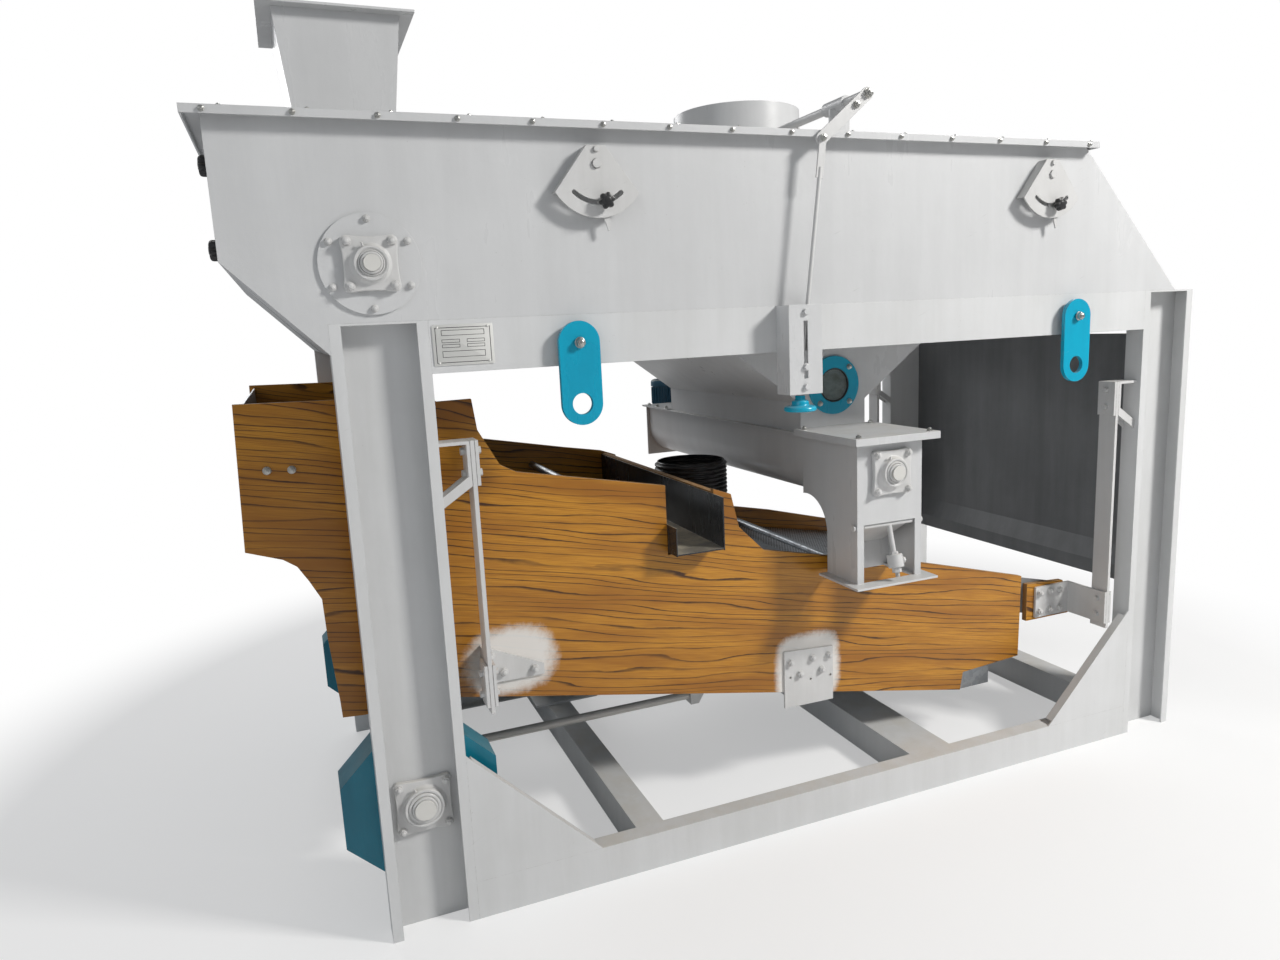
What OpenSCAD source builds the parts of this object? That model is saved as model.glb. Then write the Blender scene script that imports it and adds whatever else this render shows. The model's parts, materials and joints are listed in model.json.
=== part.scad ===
// Grain pre-cleaner: an air and sieve cleaner for grain in a welded sheet steel frame.
// Grain enters the inlet hopper, passes the feed roller and falls through an air
// current on to a sloping sieve boat that an eccentric shaft shakes lengthways.
// The air carries dust into the upper casing, where light trash settles into a
// hopper and is carried to the front by an auger.
// Lengths are in millimetres. X runs along the machine, Y from front to rear, Z up.

/* [Frame] */
// Length of the frame from end to end
frame_len = 2600; // [2500:10:2800]
// Depth of the frame from front face to rear face
frame_depth = 1300; // [1240:10:1500]
// Height of the posts
post_h = 1465; // [1455:1:1480]
// Width of each post
post_w = 208; // [204:1:212]
// Depth of the channel of each post
post_d = 60; // [56:1:64]
// Width of the folded lips of a post
post_lip = 25; // [15:1:30]
// Sheet thickness of posts and rails
frame_t = 5; // [4:0.5:6]
// Height of the top rails
top_rail_h = 117; // [100:1:125]
// Height of the bottom rails
bottom_rail_h = 100; // [80:1:105]
// Depth of the rail flanges
rail_flange = 50; // [40:1:52]
// Corner gussets above the floor
gusset_top = 434; // [380:1:460]
// Length of the corner gussets along the rail
gusset_run = 330; // [260:1:360]
// Width of the folded edge of a gusset
gusset_fold = 22; // [12:1:30]
// Width of the cross members
cross_w = 80; // [60:1:90]
// Thickness of the motor base plate
motor_plate_t = 8; // [6:0.5:12]

/* [Casing] */
// Casing above the frame
casing_h = 420; // [410:1:435]
// How far the casing overhangs the frame at the left
casing_over = 195; // [185:1:200]
// Casing's lower left corner above the frame
casing_low_h = 132; // [125:1:155]
// Drop of the left slant's foot below the post's top
slant_drop = 66; // [50:1:80]
// Casing's top right corner from the frame's right end
casing_right_in = 482; // [440:1:520]
// Right slant's foot from the frame's right end
slant_right_in = 80; // [60:1:120]
// Sheet thickness of the casing
sheet_t = 3; // [2.5:0.1:3.5]
// Thickness of the cover plate
cover_t = 4; // [3:0.1:5]
// Overhang of the cover
cover_over = 34; // [28:1:40]
// Depth of the cover's folded lip
cover_lip = 17; // [12:1:22]
// Height of the weir plate behind the air channel
weir_h = 130; // [100:1:150]

/* [Inlet and outlet] */
// Inlet's centre from the frame's left end
inlet_x = 120; // [116:1:130]
// Width of the inlet's square neck
inlet_neck = 230; // [210:1:240]
// Width of the inlet's square mouth
inlet_mouth = 310; // [290:1:340]
// Width of the inlet's flange strip
inlet_flange = 35; // [25:1:45]
// Inlet hopper above the cover
inlet_h = 360; // [320:1:400]
// Outlet's centre from the frame's left end
outlet_x = 1332; // [1310:1:1350]
// Outer diameter of the outlet spigot
outlet_d = 400; // [380:1:420]
// Height of the outlet spigot
outlet_h = 190; // [180:1:220]
// Outer diameter of the outlet's base flange
outlet_flange_d = 530; // [510:1:560]
// Number of bolts on the outlet's base flange
outlet_bolts = 12; // [8:1:16]

/* [Feed roller] */
// Feed roller's axis above the frame
feed_h = 122; // [115:1:127]
// Feed roller's axis from the frame's left end
feed_x = 98; // [94:1:106]
// Diameter of the feed roller over its vanes
feed_d = 150; // [130:1:160]
// Number of vanes on the feed roller
feed_vanes = 6; // [5:1:8]
// Diameter of the feed roller's shaft
feed_shaft_d = 35; // [30:1:38]
// Diameter of the round end discs
feed_disc_d = 212; // [206:1:220]

/* [Settling hopper] */
// Auger's axis from the frame's left end
auger_x = 1438; // [1425:1:1450]
// Drop of the auger's axis below the frame's top
auger_drop = 465; // [459:1:470]
// Hopper's front plate from the frame's front face
hopper_y = 275; // [262:1:290]
// Half width of the hopper at its top
hopper_half = 500; // [470:1:520]
// Hopper's neck above the auger's axis
neck_up = 180; // [172:1:190]
// Outer diameter of the sight glass ring
sight_d = 176; // [168:1:184]
// Diameter of the visible glass
glass_d = 102; // [94:1:110]
// Sight glass centre above the neck
sight_up = 48; // [42:1:60]

/* [Auger] */
// Width of the auger trough outside
trough_w = 212; // [206:1:216]
// Trough's top edge above the auger's axis
trough_up = 91; // [86:1:95]
// Trough's rear end from the frame's front face
trough_end = 1500; // [1480:1:1560]
// Diameter of the auger's flight
flight_d = 180; // [160:1:188]
// Pitch of the auger's flight
flight_pitch = 160; // [140:1:180]
// Diameter of the auger's shaft
auger_shaft_d = 40; // [36:1:44]
// Drop of the discharge head's foot below the auger's axis
head_drop = 312; // [305:1:320]
// Depth of the discharge head's leg
head_d = 148; // [140:1:152]
// Height of the discharge head's window
window_h = 167; // [160:1:174]
// Width of the posts beside the window
window_jamb = 22; // [18:1:26]
// Overhang of the lid and foot flange
head_over = 31; // [25:1:36]

/* [Sieve boat] */
// Boat's front panel from the frame's front face
boat_y = 170; // [166:1:176]
// Thickness of the wooden side panels
panel_t = 18; // [15:1:21]
// Fall of the boat's bottom edge for each millimetre of length
boat_fall = 0.192; // [0.188:0.001:0.196]
// Height of the boat's bottom edge at its left end
boat_low = 514; // [508:1:518]
// Throw of the eccentrics, half of the boat's stroke
throw_e = 6; // [4:0.5:7]
// Thickness of the boat's pan and chutes
pan_t = 3; // [2:0.5:4]
// Lower deck above the boat's bottom edge
lower_deck = 130; // [110:1:140]
// Upper deck above the boat's bottom edge
upper_deck = 330; // [300:1:345]
// Scalping deck above the boat's bottom edge
scalp_deck = 435; // [425:1:440]
// Thickness of the sieve decks with their frames
deck_t = 22; // [16:1:26]

/* [Hangers] */
// Breadth of a hanger blade
hanger_b = 60; // [50:1:64]
// Thickness of a hanger blade
hanger_t = 10; // [8:0.5:12]
// Hanger's front edge from the frame's front face
hanger_y = 15; // [12:1:20]
// Hanger blade from the side of its post
hanger_reach = 73; // [68:1:80]
// Drop of the top clamp's centre below the frame's top
clamp_drop = 328; // [320:1:335]
// Length of the clamped end of a hanger
clamp_len = 106; // [96:1:112]
// Height of the lower clamp's centre at the left hangers
low_clamp_z = 590; // [584:1:596]

/* [Drive] */
// Eccentric shaft from the frame's left end
drive_x = 105; // [103:1:108]
// Height of the eccentric shaft
drive_z = 312; // [306:1:314]
// Diameter of the eccentric shaft
drive_shaft_d = 50; // [46:1:52]
// Diameter of the eccentric discs
ecc_d = 110; // [96:1:116]
// Diameter of the flywheels
flywheel_d = 310; // [280:1:320]
// Width across the flats of the round guards
guard_w = 372; // [360:1:376]
// Pitch diameter of the large pulley
pulley_d = 280; // [250:1:290]
// Pitch diameter of the motor pulley
motor_pulley_d = 100; // [90:1:110]
// Motor's axis from the frame's left end
motor_x = 720; // [700:1:730]
// Shaft height of the motor above its feet
motor_foot_h = 112; // [108:1:116]
// Diameter of the motor's shaft
motor_shaft_d = 28; // [24:1:30]

/* [Air dampers] */
// First damper's shaft from the frame's left end
damper_a_x = 608; // [590:1:625]
// Second damper's shaft from the frame's right end
damper_b_in = 634; // [615:1:650]
// Drop of the damper shafts below the casing's top
damper_drop = 88; // [80:1:100]
// Radius of the quadrant's slot
slot_r = 84; // [78:1:88]
// Half angle of the quadrant's slot
slot_half = 42; // [36:1:44]
// Angle at which the dampers stand
damper_rest = 10; // [5:1:15]
// Quadrant plate from the casing
quadrant_off = 27; // [22:1:34]
// Length of the damper blades below the shaft
blade_len = 240; // [200:1:260]

/* [Outlet valve] */
// Valve's shaft above the cover
valve_up = 89; // [85:1:93]
// Length of the valve lever
lever_len = 175; // [160:1:185]
// Angle of the valve lever below the horizontal
lever_angle = 39.4; // [35:0.1:45]
// Length of the link guide
guide_len = 225; // [215:1:233]
// Width of the link guide
guide_w = 97; // [90:1:104]
// Depth of the link guide
guide_d = 62; // [56:1:66]
// Diameter of the handwheel
wheel_d = 84; // [76:1:90]

/* [Lifting lugs] */
// First lug from the frame's left end
lug_a_x = 545; // [500:1:600]
// Second lug from the frame's right end
lug_b_in = 513; // [470:1:560]
// Drop of the lugs' bolts below the frame's top
lug_bolt_drop = 65; // [55:1:75]
// Width of a lug
lug_w = 100; // [90:1:110]
// Distance from a lug's bolt to its lifting hole
lug_drop = 142; // [120:1:150]
// Thickness of a lug
lug_t = 12; // [10:1:14]
// Diameter of the lifting hole
lug_hole_d = 50; // [40:1:56]
// Lug from the rail
lug_off = 15; // [10:1:20]
// Diameter of a lug's bolt
lug_pin_d = 16; // [14:1:24]

/* [Fasteners] */
// Diameter of the frame bolts
bolt_d = 10; // [8:1:12]
// Diameter of the small cover bolts
small_bolt_d = 6; // [5:1:8]
// Number of small bolts along the cover's front edge
cover_bolts = 15; // [10:1:18]
// Clearance around shanks in their holes
hole_gap = 0.5; // [0.3:0.1:1]
// Gap between pieces that move past each other
move_gap = 0.9; // [0.7:0.1:1.2]
// Radial clearance of shafts in their bearings
shaft_gap = 0.05; // [0.02:0.01:0.08]

/* [Hidden] */
$fn = 48;

// Colours
paint = [0.80, 0.80, 0.79];
teal = [0.05, 0.55, 0.60];
guard_teal = [0.00, 0.42, 0.52];
wood = [0.78, 0.52, 0.20];
steel = [0.62, 0.63, 0.64];
zinc = [0.70, 0.71, 0.72];
black = [0.08, 0.08, 0.09];
grey = [0.38, 0.38, 0.40];

// Reach of the machine, from which the origin is worked out
left_reach = -casing_over - cover_over;
front_reach = -guide_d / 2 - wheel_d / 2;
gear_depth = 150;
rear_reach = trough_end + gear_depth;
mid_x = (left_reach + frame_len) / 2;
mid_y = (front_reach + rear_reach) / 2;
mid_depth = frame_depth / 2;
eps = 0.01;

// Places worked out from the sizes above
rail_x0 = post_w;
rail_len = frame_len - 2 * post_w;
casing_top = post_h + casing_h;
casing_low = post_h + casing_low_h;
slant_foot = post_h - slant_drop;
feed_z = post_h + feed_h;
auger_z = post_h - auger_drop;
neck_z = auger_z + neck_up;
sight_z = neck_z + sight_up;
trough_top = auger_z + trough_up;
head_foot = auger_z - head_drop;
window_top = head_foot + window_h;
clamp_z = post_h - clamp_drop;
damper_b_x = frame_len - damper_b_in;
damper_z = casing_top - damper_drop;
guide_low = post_h - guide_len;
lug_b_x = frame_len - lug_b_in;
lug_bolt_z = post_h - lug_bolt_drop;
cover_z = casing_top;
cover_top = casing_top + cover_t;
valve_z = cover_top + valve_up;
casing_right = frame_len - casing_right_in;
slant_right = frame_len - slant_right_in;
neck_half = trough_w / 2 + 9;
hopper_end = frame_depth - post_d;
boat_back = frame_depth - boat_y;
boat_in = boat_y + panel_t;
boat_clear = boat_back - panel_t - boat_in;
boat_left = -213;
boat_top = post_h - 165;
boat_right = 2100;
fall_x = 231;
fall_end = 1851;
tilt = atan(boat_fall);
left_blade = post_w + hanger_reach;
right_blade = frame_len - left_blade;
low_clamp_right = low_clamp_z - boat_fall * (right_blade - left_blade) * 0.35;
motor_z = bottom_rail_h + motor_plate_t + motor_foot_h;
pulley_y = frame_depth + 35;
pulley_w = 46;
belt_gap = 0.4;
rod_x_end = 955;
lever_pin_x = outlet_x - lever_len * cos(lever_angle);
lever_pin_z = valve_z - lever_len * sin(lever_angle);
quadrant_t = 4;
lever_t = 4;
bearing_t = 14;
bearing_len = 36;
lug_places = [lug_a_x, lug_b_x];
disc_angles = [30:60:330];
disc_bolt_r = feed_disc_d / 2 - 13;
disc_t = 6;
damper_shaft_r = 10;
valve_shaft_r = 11;
valve_y = -42;
cross_len = frame_depth - 2 * rail_flange;
cross_places = [[650, cross_w], [1554, 2 * cross_w - 10]];
cover_x0 = left_reach;
cover_x1 = casing_right + cover_over - 15;
door_y = [250, frame_depth - 250];
door_z = [casing_low + 23, casing_top - 35];
door_lap = 15;
door_hinge_x = -casing_over - 7;
door_hinge_y = door_y[1] + door_lap + 10;
door_knob_y = door_y[0] + 50;
slope_run = hopper_half - neck_half;
slope_rise = post_h - neck_z;
guide_x = lever_pin_x - 64.8;
link_foot = guide_low + 110;
link_len = norm([lever_pin_x - guide_x, lever_pin_z - link_foot]);
link_lean = atan((lever_pin_x - guide_x) / (lever_pin_z - link_foot));
leg_wall = 3;
flap_y = 12;
flap_z = window_top - 7;
flap_fall = 32;
belt_len = norm([motor_x - drive_x, motor_z - drive_z]);
belt_base = atan2(motor_z - drive_z, motor_x - drive_x);
motor_front = hopper_end - 235;
motor_back = hopper_end - 8;
gear_d = gear_depth - 45;
chute_x = [828, 973];
sleeve_x = 1150;
sleeve_y = 700;
sleeve_low = 722;
sleeve_r = 110;

// Height of the boat's bottom edge at a place along the machine
function low_z(x) = boat_low - boat_fall * (x - fall_x);
// Angle at which the belt leaves pulleys of two radii
function leave(r1, r2) = acos((r1 - r2) / belt_len);

// Moves a shape from the machine's own corner to the centre of its floor space
module at_centre() {
    translate([-mid_x, -mid_y, 0]) children();
}

// Repeats a front piece at the rear, mirrored
module front_and_rear() {
    children();
    translate([0, frame_depth, 0]) mirror([0, 1, 0]) children();
}

// Repeats a left piece at the right, mirrored
module left_and_right() {
    children();
    translate([frame_len, 0, 0]) mirror([1, 0, 0]) children();
}

// Cylinder along +Y from y0 with the given length
module along_y(x, z, y0, len, r) {
    translate([x, y0, z]) rotate([-90, 0, 0]) cylinder(h = len, r = r);
}

// Outline in the XZ plane, extruded along +Y from y0
module upright(y0, t) {
    translate([0, y0 + t, 0]) rotate([90, 0, 0]) linear_extrude(t) children();
}

// Outline in the YZ plane, extruded along +X from x0
module sideways(x0, t) {
    translate([x0, 0, 0]) rotate([90, 0, 90]) linear_extrude(t) children();
}

// Hexagon bolt head with its washer, seated on a face at y that looks to -Y
module bolt_head(x, y, z, d) {
    translate([x, y, z]) rotate([90, 0, 0]) {
        cylinder(h = 0.2 * d, r = 1.05 * d);
        translate([0, 0, 0.2 * d - eps]) cylinder(h = 0.65 * d, r = 0.9 * d, $fn = 6);
    }
}

// Hexagon bolt head with washer, seated on a face at z that looks up
module bolt_up(x, y, z, d) {
    translate([x, y, z]) {
        cylinder(h = 0.2 * d, r = 1.05 * d);
        translate([0, 0, 0.2 * d - eps]) cylinder(h = 0.65 * d, r = 0.9 * d, $fn = 6);
    }
}

// Lipped channel of a post, open to the front
module post_outline() {
    difference() {
        square([post_w, post_d]);
        translate([frame_t, -1]) square([post_w - 2 * frame_t, post_d - frame_t + 1]);
    }
    square([post_lip, frame_t]);
    translate([post_w - post_lip, 0]) square([post_lip, frame_t]);
}

module post() {
    linear_extrude(post_h - frame_t) post_outline();
    translate([0, 0, post_h - frame_t]) cube([post_w, post_d, frame_t]);
}

// Square pattern of bolts at the corners of a flange
module corner_places(pitch) {
    for (sx = [-1, 1], sz = [-1, 1]) translate([sx * pitch / 2, 0, sz * pitch / 2]) children();
}

// Holes through a plate for a flange bearing
module bearing_holes(x, z, y0, len, shaft_d, pitch) {
    along_y(x, z, y0, len, shaft_d / 2 + 4);
    translate([x, 0, z]) corner_places(pitch) along_y(0, 0, y0, len, bolt_d / 2 + hole_gap);
}

function drive_pitch() = 2.22 * drive_shaft_d;
function feed_pitch() = 2.63 * feed_shaft_d;
function auger_pitch() = 2.55 * auger_shaft_d;

module front_post_pair() {
    difference() {
        left_and_right() post();
        bearing_holes(drive_x, drive_z, post_d - frame_t - 1, frame_t + 2, drive_shaft_d,
            drive_pitch());
    }
}

module front_posts() {
    color(paint) at_centre() front_post_pair();
}

module rear_posts() {
    color(paint) at_centre()
        translate([0, frame_depth, 0]) mirror([0, 1, 0]) front_post_pair();
}

// Channel rail along X, open to the rear, between the posts
module long_rail(z0, h) {
    translate([rail_x0, 0, z0]) {
        cube([rail_len, frame_t, h]);
        for (z = [0, h - frame_t]) translate([0, 0, z]) cube([rail_len, rail_flange, frame_t]);
    }
}

// Channel rail along Y, open towards the machine's middle, between the posts
module end_rail(x0) {
    translate([x0, post_d, post_h - top_rail_h]) {
        cube([frame_t, frame_depth - 2 * post_d, top_rail_h]);
        for (z = [0, top_rail_h - frame_t])
            translate([0, 0, z]) cube([rail_flange, frame_depth - 2 * post_d, frame_t]);
    }
}

module top_rails() {
    color(paint) at_centre() {
        difference() {
            front_and_rear() long_rail(post_h - top_rail_h, top_rail_h);
            for (x = lug_places) along_y(x, lug_bolt_z, -1, frame_t + 2, lug_pin_d / 2 + hole_gap);
        }
        end_rail(post_w - rail_flange);
        translate([frame_len, 0, 0]) mirror([1, 0, 0]) end_rail(0);
    }
}

module bottom_rails() {
    color(paint) at_centre() front_and_rear() long_rail(0, bottom_rail_h);
}

// Floor channel from the front bottom rail to the rear one
module cross_channel(x0, w, y0, len) {
    translate([x0, y0, 0]) {
        translate([0, 0, bottom_rail_h - frame_t]) cube([w, len, frame_t]);
        cube([frame_t, len, bottom_rail_h]);
        translate([w - frame_t, 0, 0]) cube([frame_t, len, bottom_rail_h]);
    }
}

module cross_members() {
    color(paint) at_centre() {
        for (c = cross_places) cross_channel(c[0], c[1], rail_flange, cross_len);
        for (x = [post_w - cross_w, frame_len - post_w]) cross_channel(x, cross_w, post_d,
            frame_depth - 2 * post_d);
        translate([motor_x - 115, hopper_end - 330, bottom_rail_h])
            cube([230, 330, motor_plate_t]);
    }
}

module gusset() {
    upright(0, frame_t) polygon([[post_w, bottom_rail_h], [post_w, gusset_top],
        [post_w + gusset_run, bottom_rail_h]]);
    run_angle = atan((gusset_top - bottom_rail_h) / gusset_run);
    edge = norm([gusset_top - bottom_rail_h, gusset_run]);
    translate([post_w, 0, gusset_top]) rotate([0, run_angle, 0])
        translate([20, frame_t, -frame_t]) cube([edge - 40, gusset_fold, frame_t]);
}

module corner_gussets() {
    color(paint) at_centre() front_and_rear() left_and_right() gusset();
}

// Outline of the casing's long sides
module casing_outline() {
    polygon([[-casing_over, casing_top], [-casing_over, casing_low], [0, slant_foot],
        [0, post_h], [slant_right, post_h], [casing_right, casing_top]]);
}

module casing_side_plates() {
    color(paint) at_centre() difference() {
        union() {
            front_and_rear() {
                upright(0, sheet_t) casing_outline();
                translate([0, sheet_t, post_h]) cube([slant_right - 40, 34, sheet_t]);
            }
        }
        front_and_rear() {
            along_y(feed_x, feed_z, -1, sheet_t + 2, feed_d / 2 + 3);
            for (a = disc_angles) along_y(feed_x + disc_bolt_r * cos(a),
                feed_z + disc_bolt_r * sin(a), -1, sheet_t + 2, bolt_d / 2 + hole_gap);
            for (x = [damper_a_x, damper_b_x])
                along_y(x, damper_z, -1, sheet_t + 2, damper_shaft_r + shaft_gap);
        }
    }
}

module casing_end_plates() {
    inner = frame_depth - 2 * sheet_t;
    color(paint) at_centre() {
        difference() {
            upright(sheet_t, inner) polygon([[-casing_over, casing_top],
                [-casing_over, casing_low], [0, slant_foot], [0, slant_foot + sheet_t * 1.42],
                [-casing_over + sheet_t, casing_low + sheet_t * 0.4],
                [-casing_over + sheet_t, casing_top]]);
            translate([-casing_over - 1, door_y[0], door_z[0]])
                cube([sheet_t + 2, door_y[1] - door_y[0], door_z[1] - door_z[0]]);
        }
        door_knuckles();
        upright(sheet_t, inner) polygon([[slant_right, post_h + sheet_t],
            [casing_right, casing_top], [casing_right - sheet_t * 1.4, casing_top],
            [slant_right - sheet_t * 1.4, post_h + sheet_t]]);
    }
}

module casing_floor() {
    inner = frame_depth - 2 * sheet_t;
    color(paint) at_centre() difference() {
        translate([post_w, 34 + sheet_t, post_h])
            cube([slant_right - post_w, frame_depth - 68 - 2 * sheet_t, sheet_t]);
        translate([auger_x - hopper_half, hopper_y, post_h - 1])
            cube([2 * hopper_half, hopper_end - hopper_y, sheet_t + 2]);
    }
}

module casing_cover() {
    color(paint) at_centre() difference() {
        union() {
            translate([cover_x0, -cover_over, cover_z])
                cube([cover_x1 - cover_x0, frame_depth + 2 * cover_over, cover_t]);
            for (y = [-cover_over, frame_depth + cover_over - cover_t])
                translate([cover_x0, y, cover_z - cover_lip + cover_t])
                    cube([cover_x1 - cover_x0, cover_t, cover_lip]);
            for (x = [cover_x0, cover_x1 - cover_t])
                translate([x, -cover_over, cover_z - cover_lip + cover_t])
                    cube([cover_t, frame_depth + 2 * cover_over, cover_lip]);
        }
        translate([inlet_x - inlet_neck / 2, mid_depth - inlet_neck / 2, cover_z - 1])
            cube([inlet_neck, inlet_neck, cover_t + 2]);
        translate([outlet_x, mid_depth, cover_z - 1])
            cylinder(h = cover_t + 2, r = outlet_d / 2 - 3, $fn = 96);
    }
}

// Weir behind the air channel, and guides under the inlet
module casing_baffles() {
    inner = frame_depth - 2 * sheet_t;
    color(paint) at_centre() {
        translate([post_w, 34 + sheet_t, post_h + sheet_t])
            cube([sheet_t, frame_depth - 68 - 2 * sheet_t, weir_h]);
        for (x = [inlet_x - inlet_neck / 2 - sheet_t, inlet_x + inlet_neck / 2])
            translate([x, sheet_t, casing_top - 190]) cube([sheet_t, inner, 190]);
        translate([outlet_x - outlet_d * 0.75, sheet_t, casing_top - 200])
            cube([sheet_t, inner, 200]);
    }
}

// Sloping walls from the neck up to the mouth, with strips round it
module inlet_hopper() {
    slope = (inlet_mouth - inlet_neck) / 2 / inlet_h;
    out = inlet_mouth / 2 + inlet_flange;
    color(paint) at_centre() translate([inlet_x, mid_depth, cover_top]) {
        difference() {
            intersection() {
                upright(-out, 2 * out) polygon([[-inlet_neck / 2, 0], [-inlet_mouth / 2, inlet_h],
                    [inlet_mouth / 2, inlet_h], [inlet_neck / 2, 0]]);
                sideways(-out, 2 * out) polygon([[-inlet_neck / 2, 0], [-inlet_mouth / 2, inlet_h],
                    [inlet_mouth / 2, inlet_h], [inlet_neck / 2, 0]]);
            }
            intersection() {
                upright(-out, 2 * out) polygon([[-inlet_neck / 2 + sheet_t + slope, -1],
                    [-inlet_mouth / 2 + sheet_t - slope, inlet_h + 1],
                    [inlet_mouth / 2 - sheet_t + slope, inlet_h + 1],
                    [inlet_neck / 2 - sheet_t - slope, -1]]);
                sideways(-out, 2 * out) polygon([[-inlet_neck / 2 + sheet_t + slope, -1],
                    [-inlet_mouth / 2 + sheet_t - slope, inlet_h + 1],
                    [inlet_mouth / 2 - sheet_t + slope, inlet_h + 1],
                    [inlet_neck / 2 - sheet_t - slope, -1]]);
            }
        }
        difference() {
            translate([-out, -out, inlet_h]) cube([2 * out, 2 * out, 2 * sheet_t]);
            translate([-inlet_mouth / 2 + sheet_t, -inlet_mouth / 2 + sheet_t, inlet_h - 1])
                cube([inlet_mouth - 2 * sheet_t, inlet_mouth - 2 * sheet_t, 4 * sheet_t]);
        }
    }
}

module outlet_ring() {
    color(paint) at_centre() translate([outlet_x, mid_depth, cover_top]) {
        difference() {
            union() {
                cylinder(h = outlet_h, r = outlet_d / 2, $fn = 96);
                cylinder(h = 6, r = outlet_flange_d / 2, $fn = 96);
                translate([0, 0, valve_up + valve_shaft_r + 5])
                    cylinder(h = 6, r = outlet_d / 2 + sheet_t, $fn = 96);
            }
            translate([0, 0, -1]) cylinder(h = outlet_h + 2, r = outlet_d / 2 - 3, $fn = 96);
            along_y(0, valve_up, -outlet_d, 2 * outlet_d, valve_shaft_r + shaft_gap);
        }
        valve_stub();
    }
}

// Sleeve that carries the valve's shaft from the spigot to the front edge
module valve_stub() {
    difference() {
        along_y(0, valve_up, -mid_depth + 45, 90, valve_shaft_r + 7);
        along_y(0, valve_up, -mid_depth + 44, 92, valve_shaft_r + shaft_gap);
    }
    difference() {
        translate([-30, -mid_depth + 75, 0]) cube([60, 8, valve_up - valve_shaft_r]);
        along_y(0, valve_up, -mid_depth + 44, 92, valve_shaft_r + 3);
    }
}

// Star knob with its neck, seated on a face at z = 0 and facing up
module star_knob(d, h, stem_r, stem_len) {
    difference() {
        translate([0, 0, 0.25 * h]) cylinder(h = 0.75 * h, r = d / 2);
        for (a = [0:60:300]) rotate([0, 0, a]) translate([0.56 * d, 0, 0.2 * h])
            cylinder(h = h, r = 0.14 * d);
    }
    cylinder(h = 0.3 * h, r = 0.3 * d);
    translate([0, 0, -stem_len]) cylinder(h = stem_len + 1, r = stem_r);
}

module inspection_door() {
    x0 = -casing_over - 0.5 - sheet_t;
    y0 = door_y[0] - door_lap;
    y1 = door_y[1] + door_lap;
    z0 = door_z[0] - door_lap;
    z1 = door_z[1] + door_lap;
    color(paint) at_centre() {
        difference() {
            translate([x0, y0, z0]) cube([sheet_t, y1 - y0, z1 - z0]);
            for (z = [door_z[0] + 27, door_z[1] - 17])
                translate([x0 - 1, door_knob_y, z]) rotate([0, 90, 0])
                    cylinder(h = sheet_t + 2, r = 5 + shaft_gap);
        }
        for (z = [z0 + 40, z1 - 70]) {
            translate([x0, y1 - 1, z]) cube([sheet_t, 9, 30]);
            translate([door_hinge_x, door_hinge_y, z]) cylinder(h = 30, r = 7);
            translate([door_hinge_x, door_hinge_y, z - 24]) cylinder(h = 30, r = 4);
        }
    }
}

// Fixed hinge halves on the casing's left end
module door_knuckles() {
    for (z = [door_z[0] - door_lap + 15, door_z[1] + door_lap - 95]) difference() {
        union() {
            translate([door_hinge_x, door_hinge_y, z]) cylinder(h = 24, r = 7);
            translate([door_hinge_x + 3, door_hinge_y - 4, z]) cube([4, 34, 24]);
        }
        translate([door_hinge_x, door_hinge_y, z - 1]) cylinder(h = 26, r = 4 + shaft_gap);
    }
}

module door_knob(z) {
    color(black) at_centre()
        translate([-casing_over - 0.5 - sheet_t - 0.5, door_knob_y, z]) rotate([0, -90, 0]) {
            star_knob(50, 28, 5, 12);
            translate([0, 0, -12]) cylinder(h = 12 - sheet_t - 1, r = 9);
        }
}

module door_knob_upper() door_knob(door_z[1] - 17);

module door_knob_lower() door_knob(door_z[0] + 27);

module feed_roller() {
    color(steel) at_centre() {
        along_y(feed_x, feed_z, -disc_t - bearing_len - 4,
            frame_depth + 2 * disc_t + 2 * bearing_len + 70, feed_shaft_d / 2);
        translate([feed_x, 0, feed_z]) for (i = [0:feed_vanes - 1])
            rotate([0, i * 360 / feed_vanes, 0]) translate([feed_shaft_d / 2 - 2, 12, -2])
                cube([feed_d / 2 - feed_shaft_d / 2 + 2, frame_depth - 24, 4]);
    }
}

module feed_end_discs() {
    color(paint) at_centre() front_and_rear() difference() {
        along_y(feed_x, feed_z, -disc_t, disc_t, feed_disc_d / 2);
        along_y(feed_x, feed_z, -disc_t - 1, disc_t + 2, feed_shaft_d / 2 + 4);
        for (a = disc_angles) along_y(feed_x + disc_bolt_r * cos(a),
            feed_z + disc_bolt_r * sin(a), -disc_t - 1, disc_t + 2, bolt_d / 2 + hole_gap);
        translate([feed_x, 0, feed_z]) corner_places(feed_pitch())
            along_y(0, 0, -disc_t - 1, disc_t + 2, bolt_d / 2 + hole_gap);
    }
}

// Square flange bearing whose flange rests on a face at y that looks to -Y
module bearing(x, y, z, shaft_d, pitch) {
    side = pitch + 26;
    insert_r = 0.76 * shaft_d;
    translate([x, y, z]) {
        difference() {
            union() {
                translate([-side / 2 + 13, -bearing_t, -side / 2])
                    cube([side - 26, bearing_t, side]);
                translate([-side / 2, -bearing_t, -side / 2 + 13])
                    cube([side, bearing_t, side - 26]);
                corner_places(side - 26) along_y(0, 0, -bearing_t, bearing_t, 13);
                along_y(0, 0, -bearing_len + 6, bearing_len - 6, insert_r + 10);
            }
            along_y(0, 0, -bearing_len, bearing_len + 1, insert_r);
            corner_places(pitch) along_y(0, 0, -bearing_t - 1, bearing_t + 2,
                bolt_d / 2 + hole_gap);
        }
        difference() {
            along_y(0, 0, -bearing_len, bearing_len - 6, insert_r - shaft_gap);
            along_y(0, 0, -bearing_len - 1, bearing_len + 2, shaft_d / 2 + shaft_gap);
        }
    }
}

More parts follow.
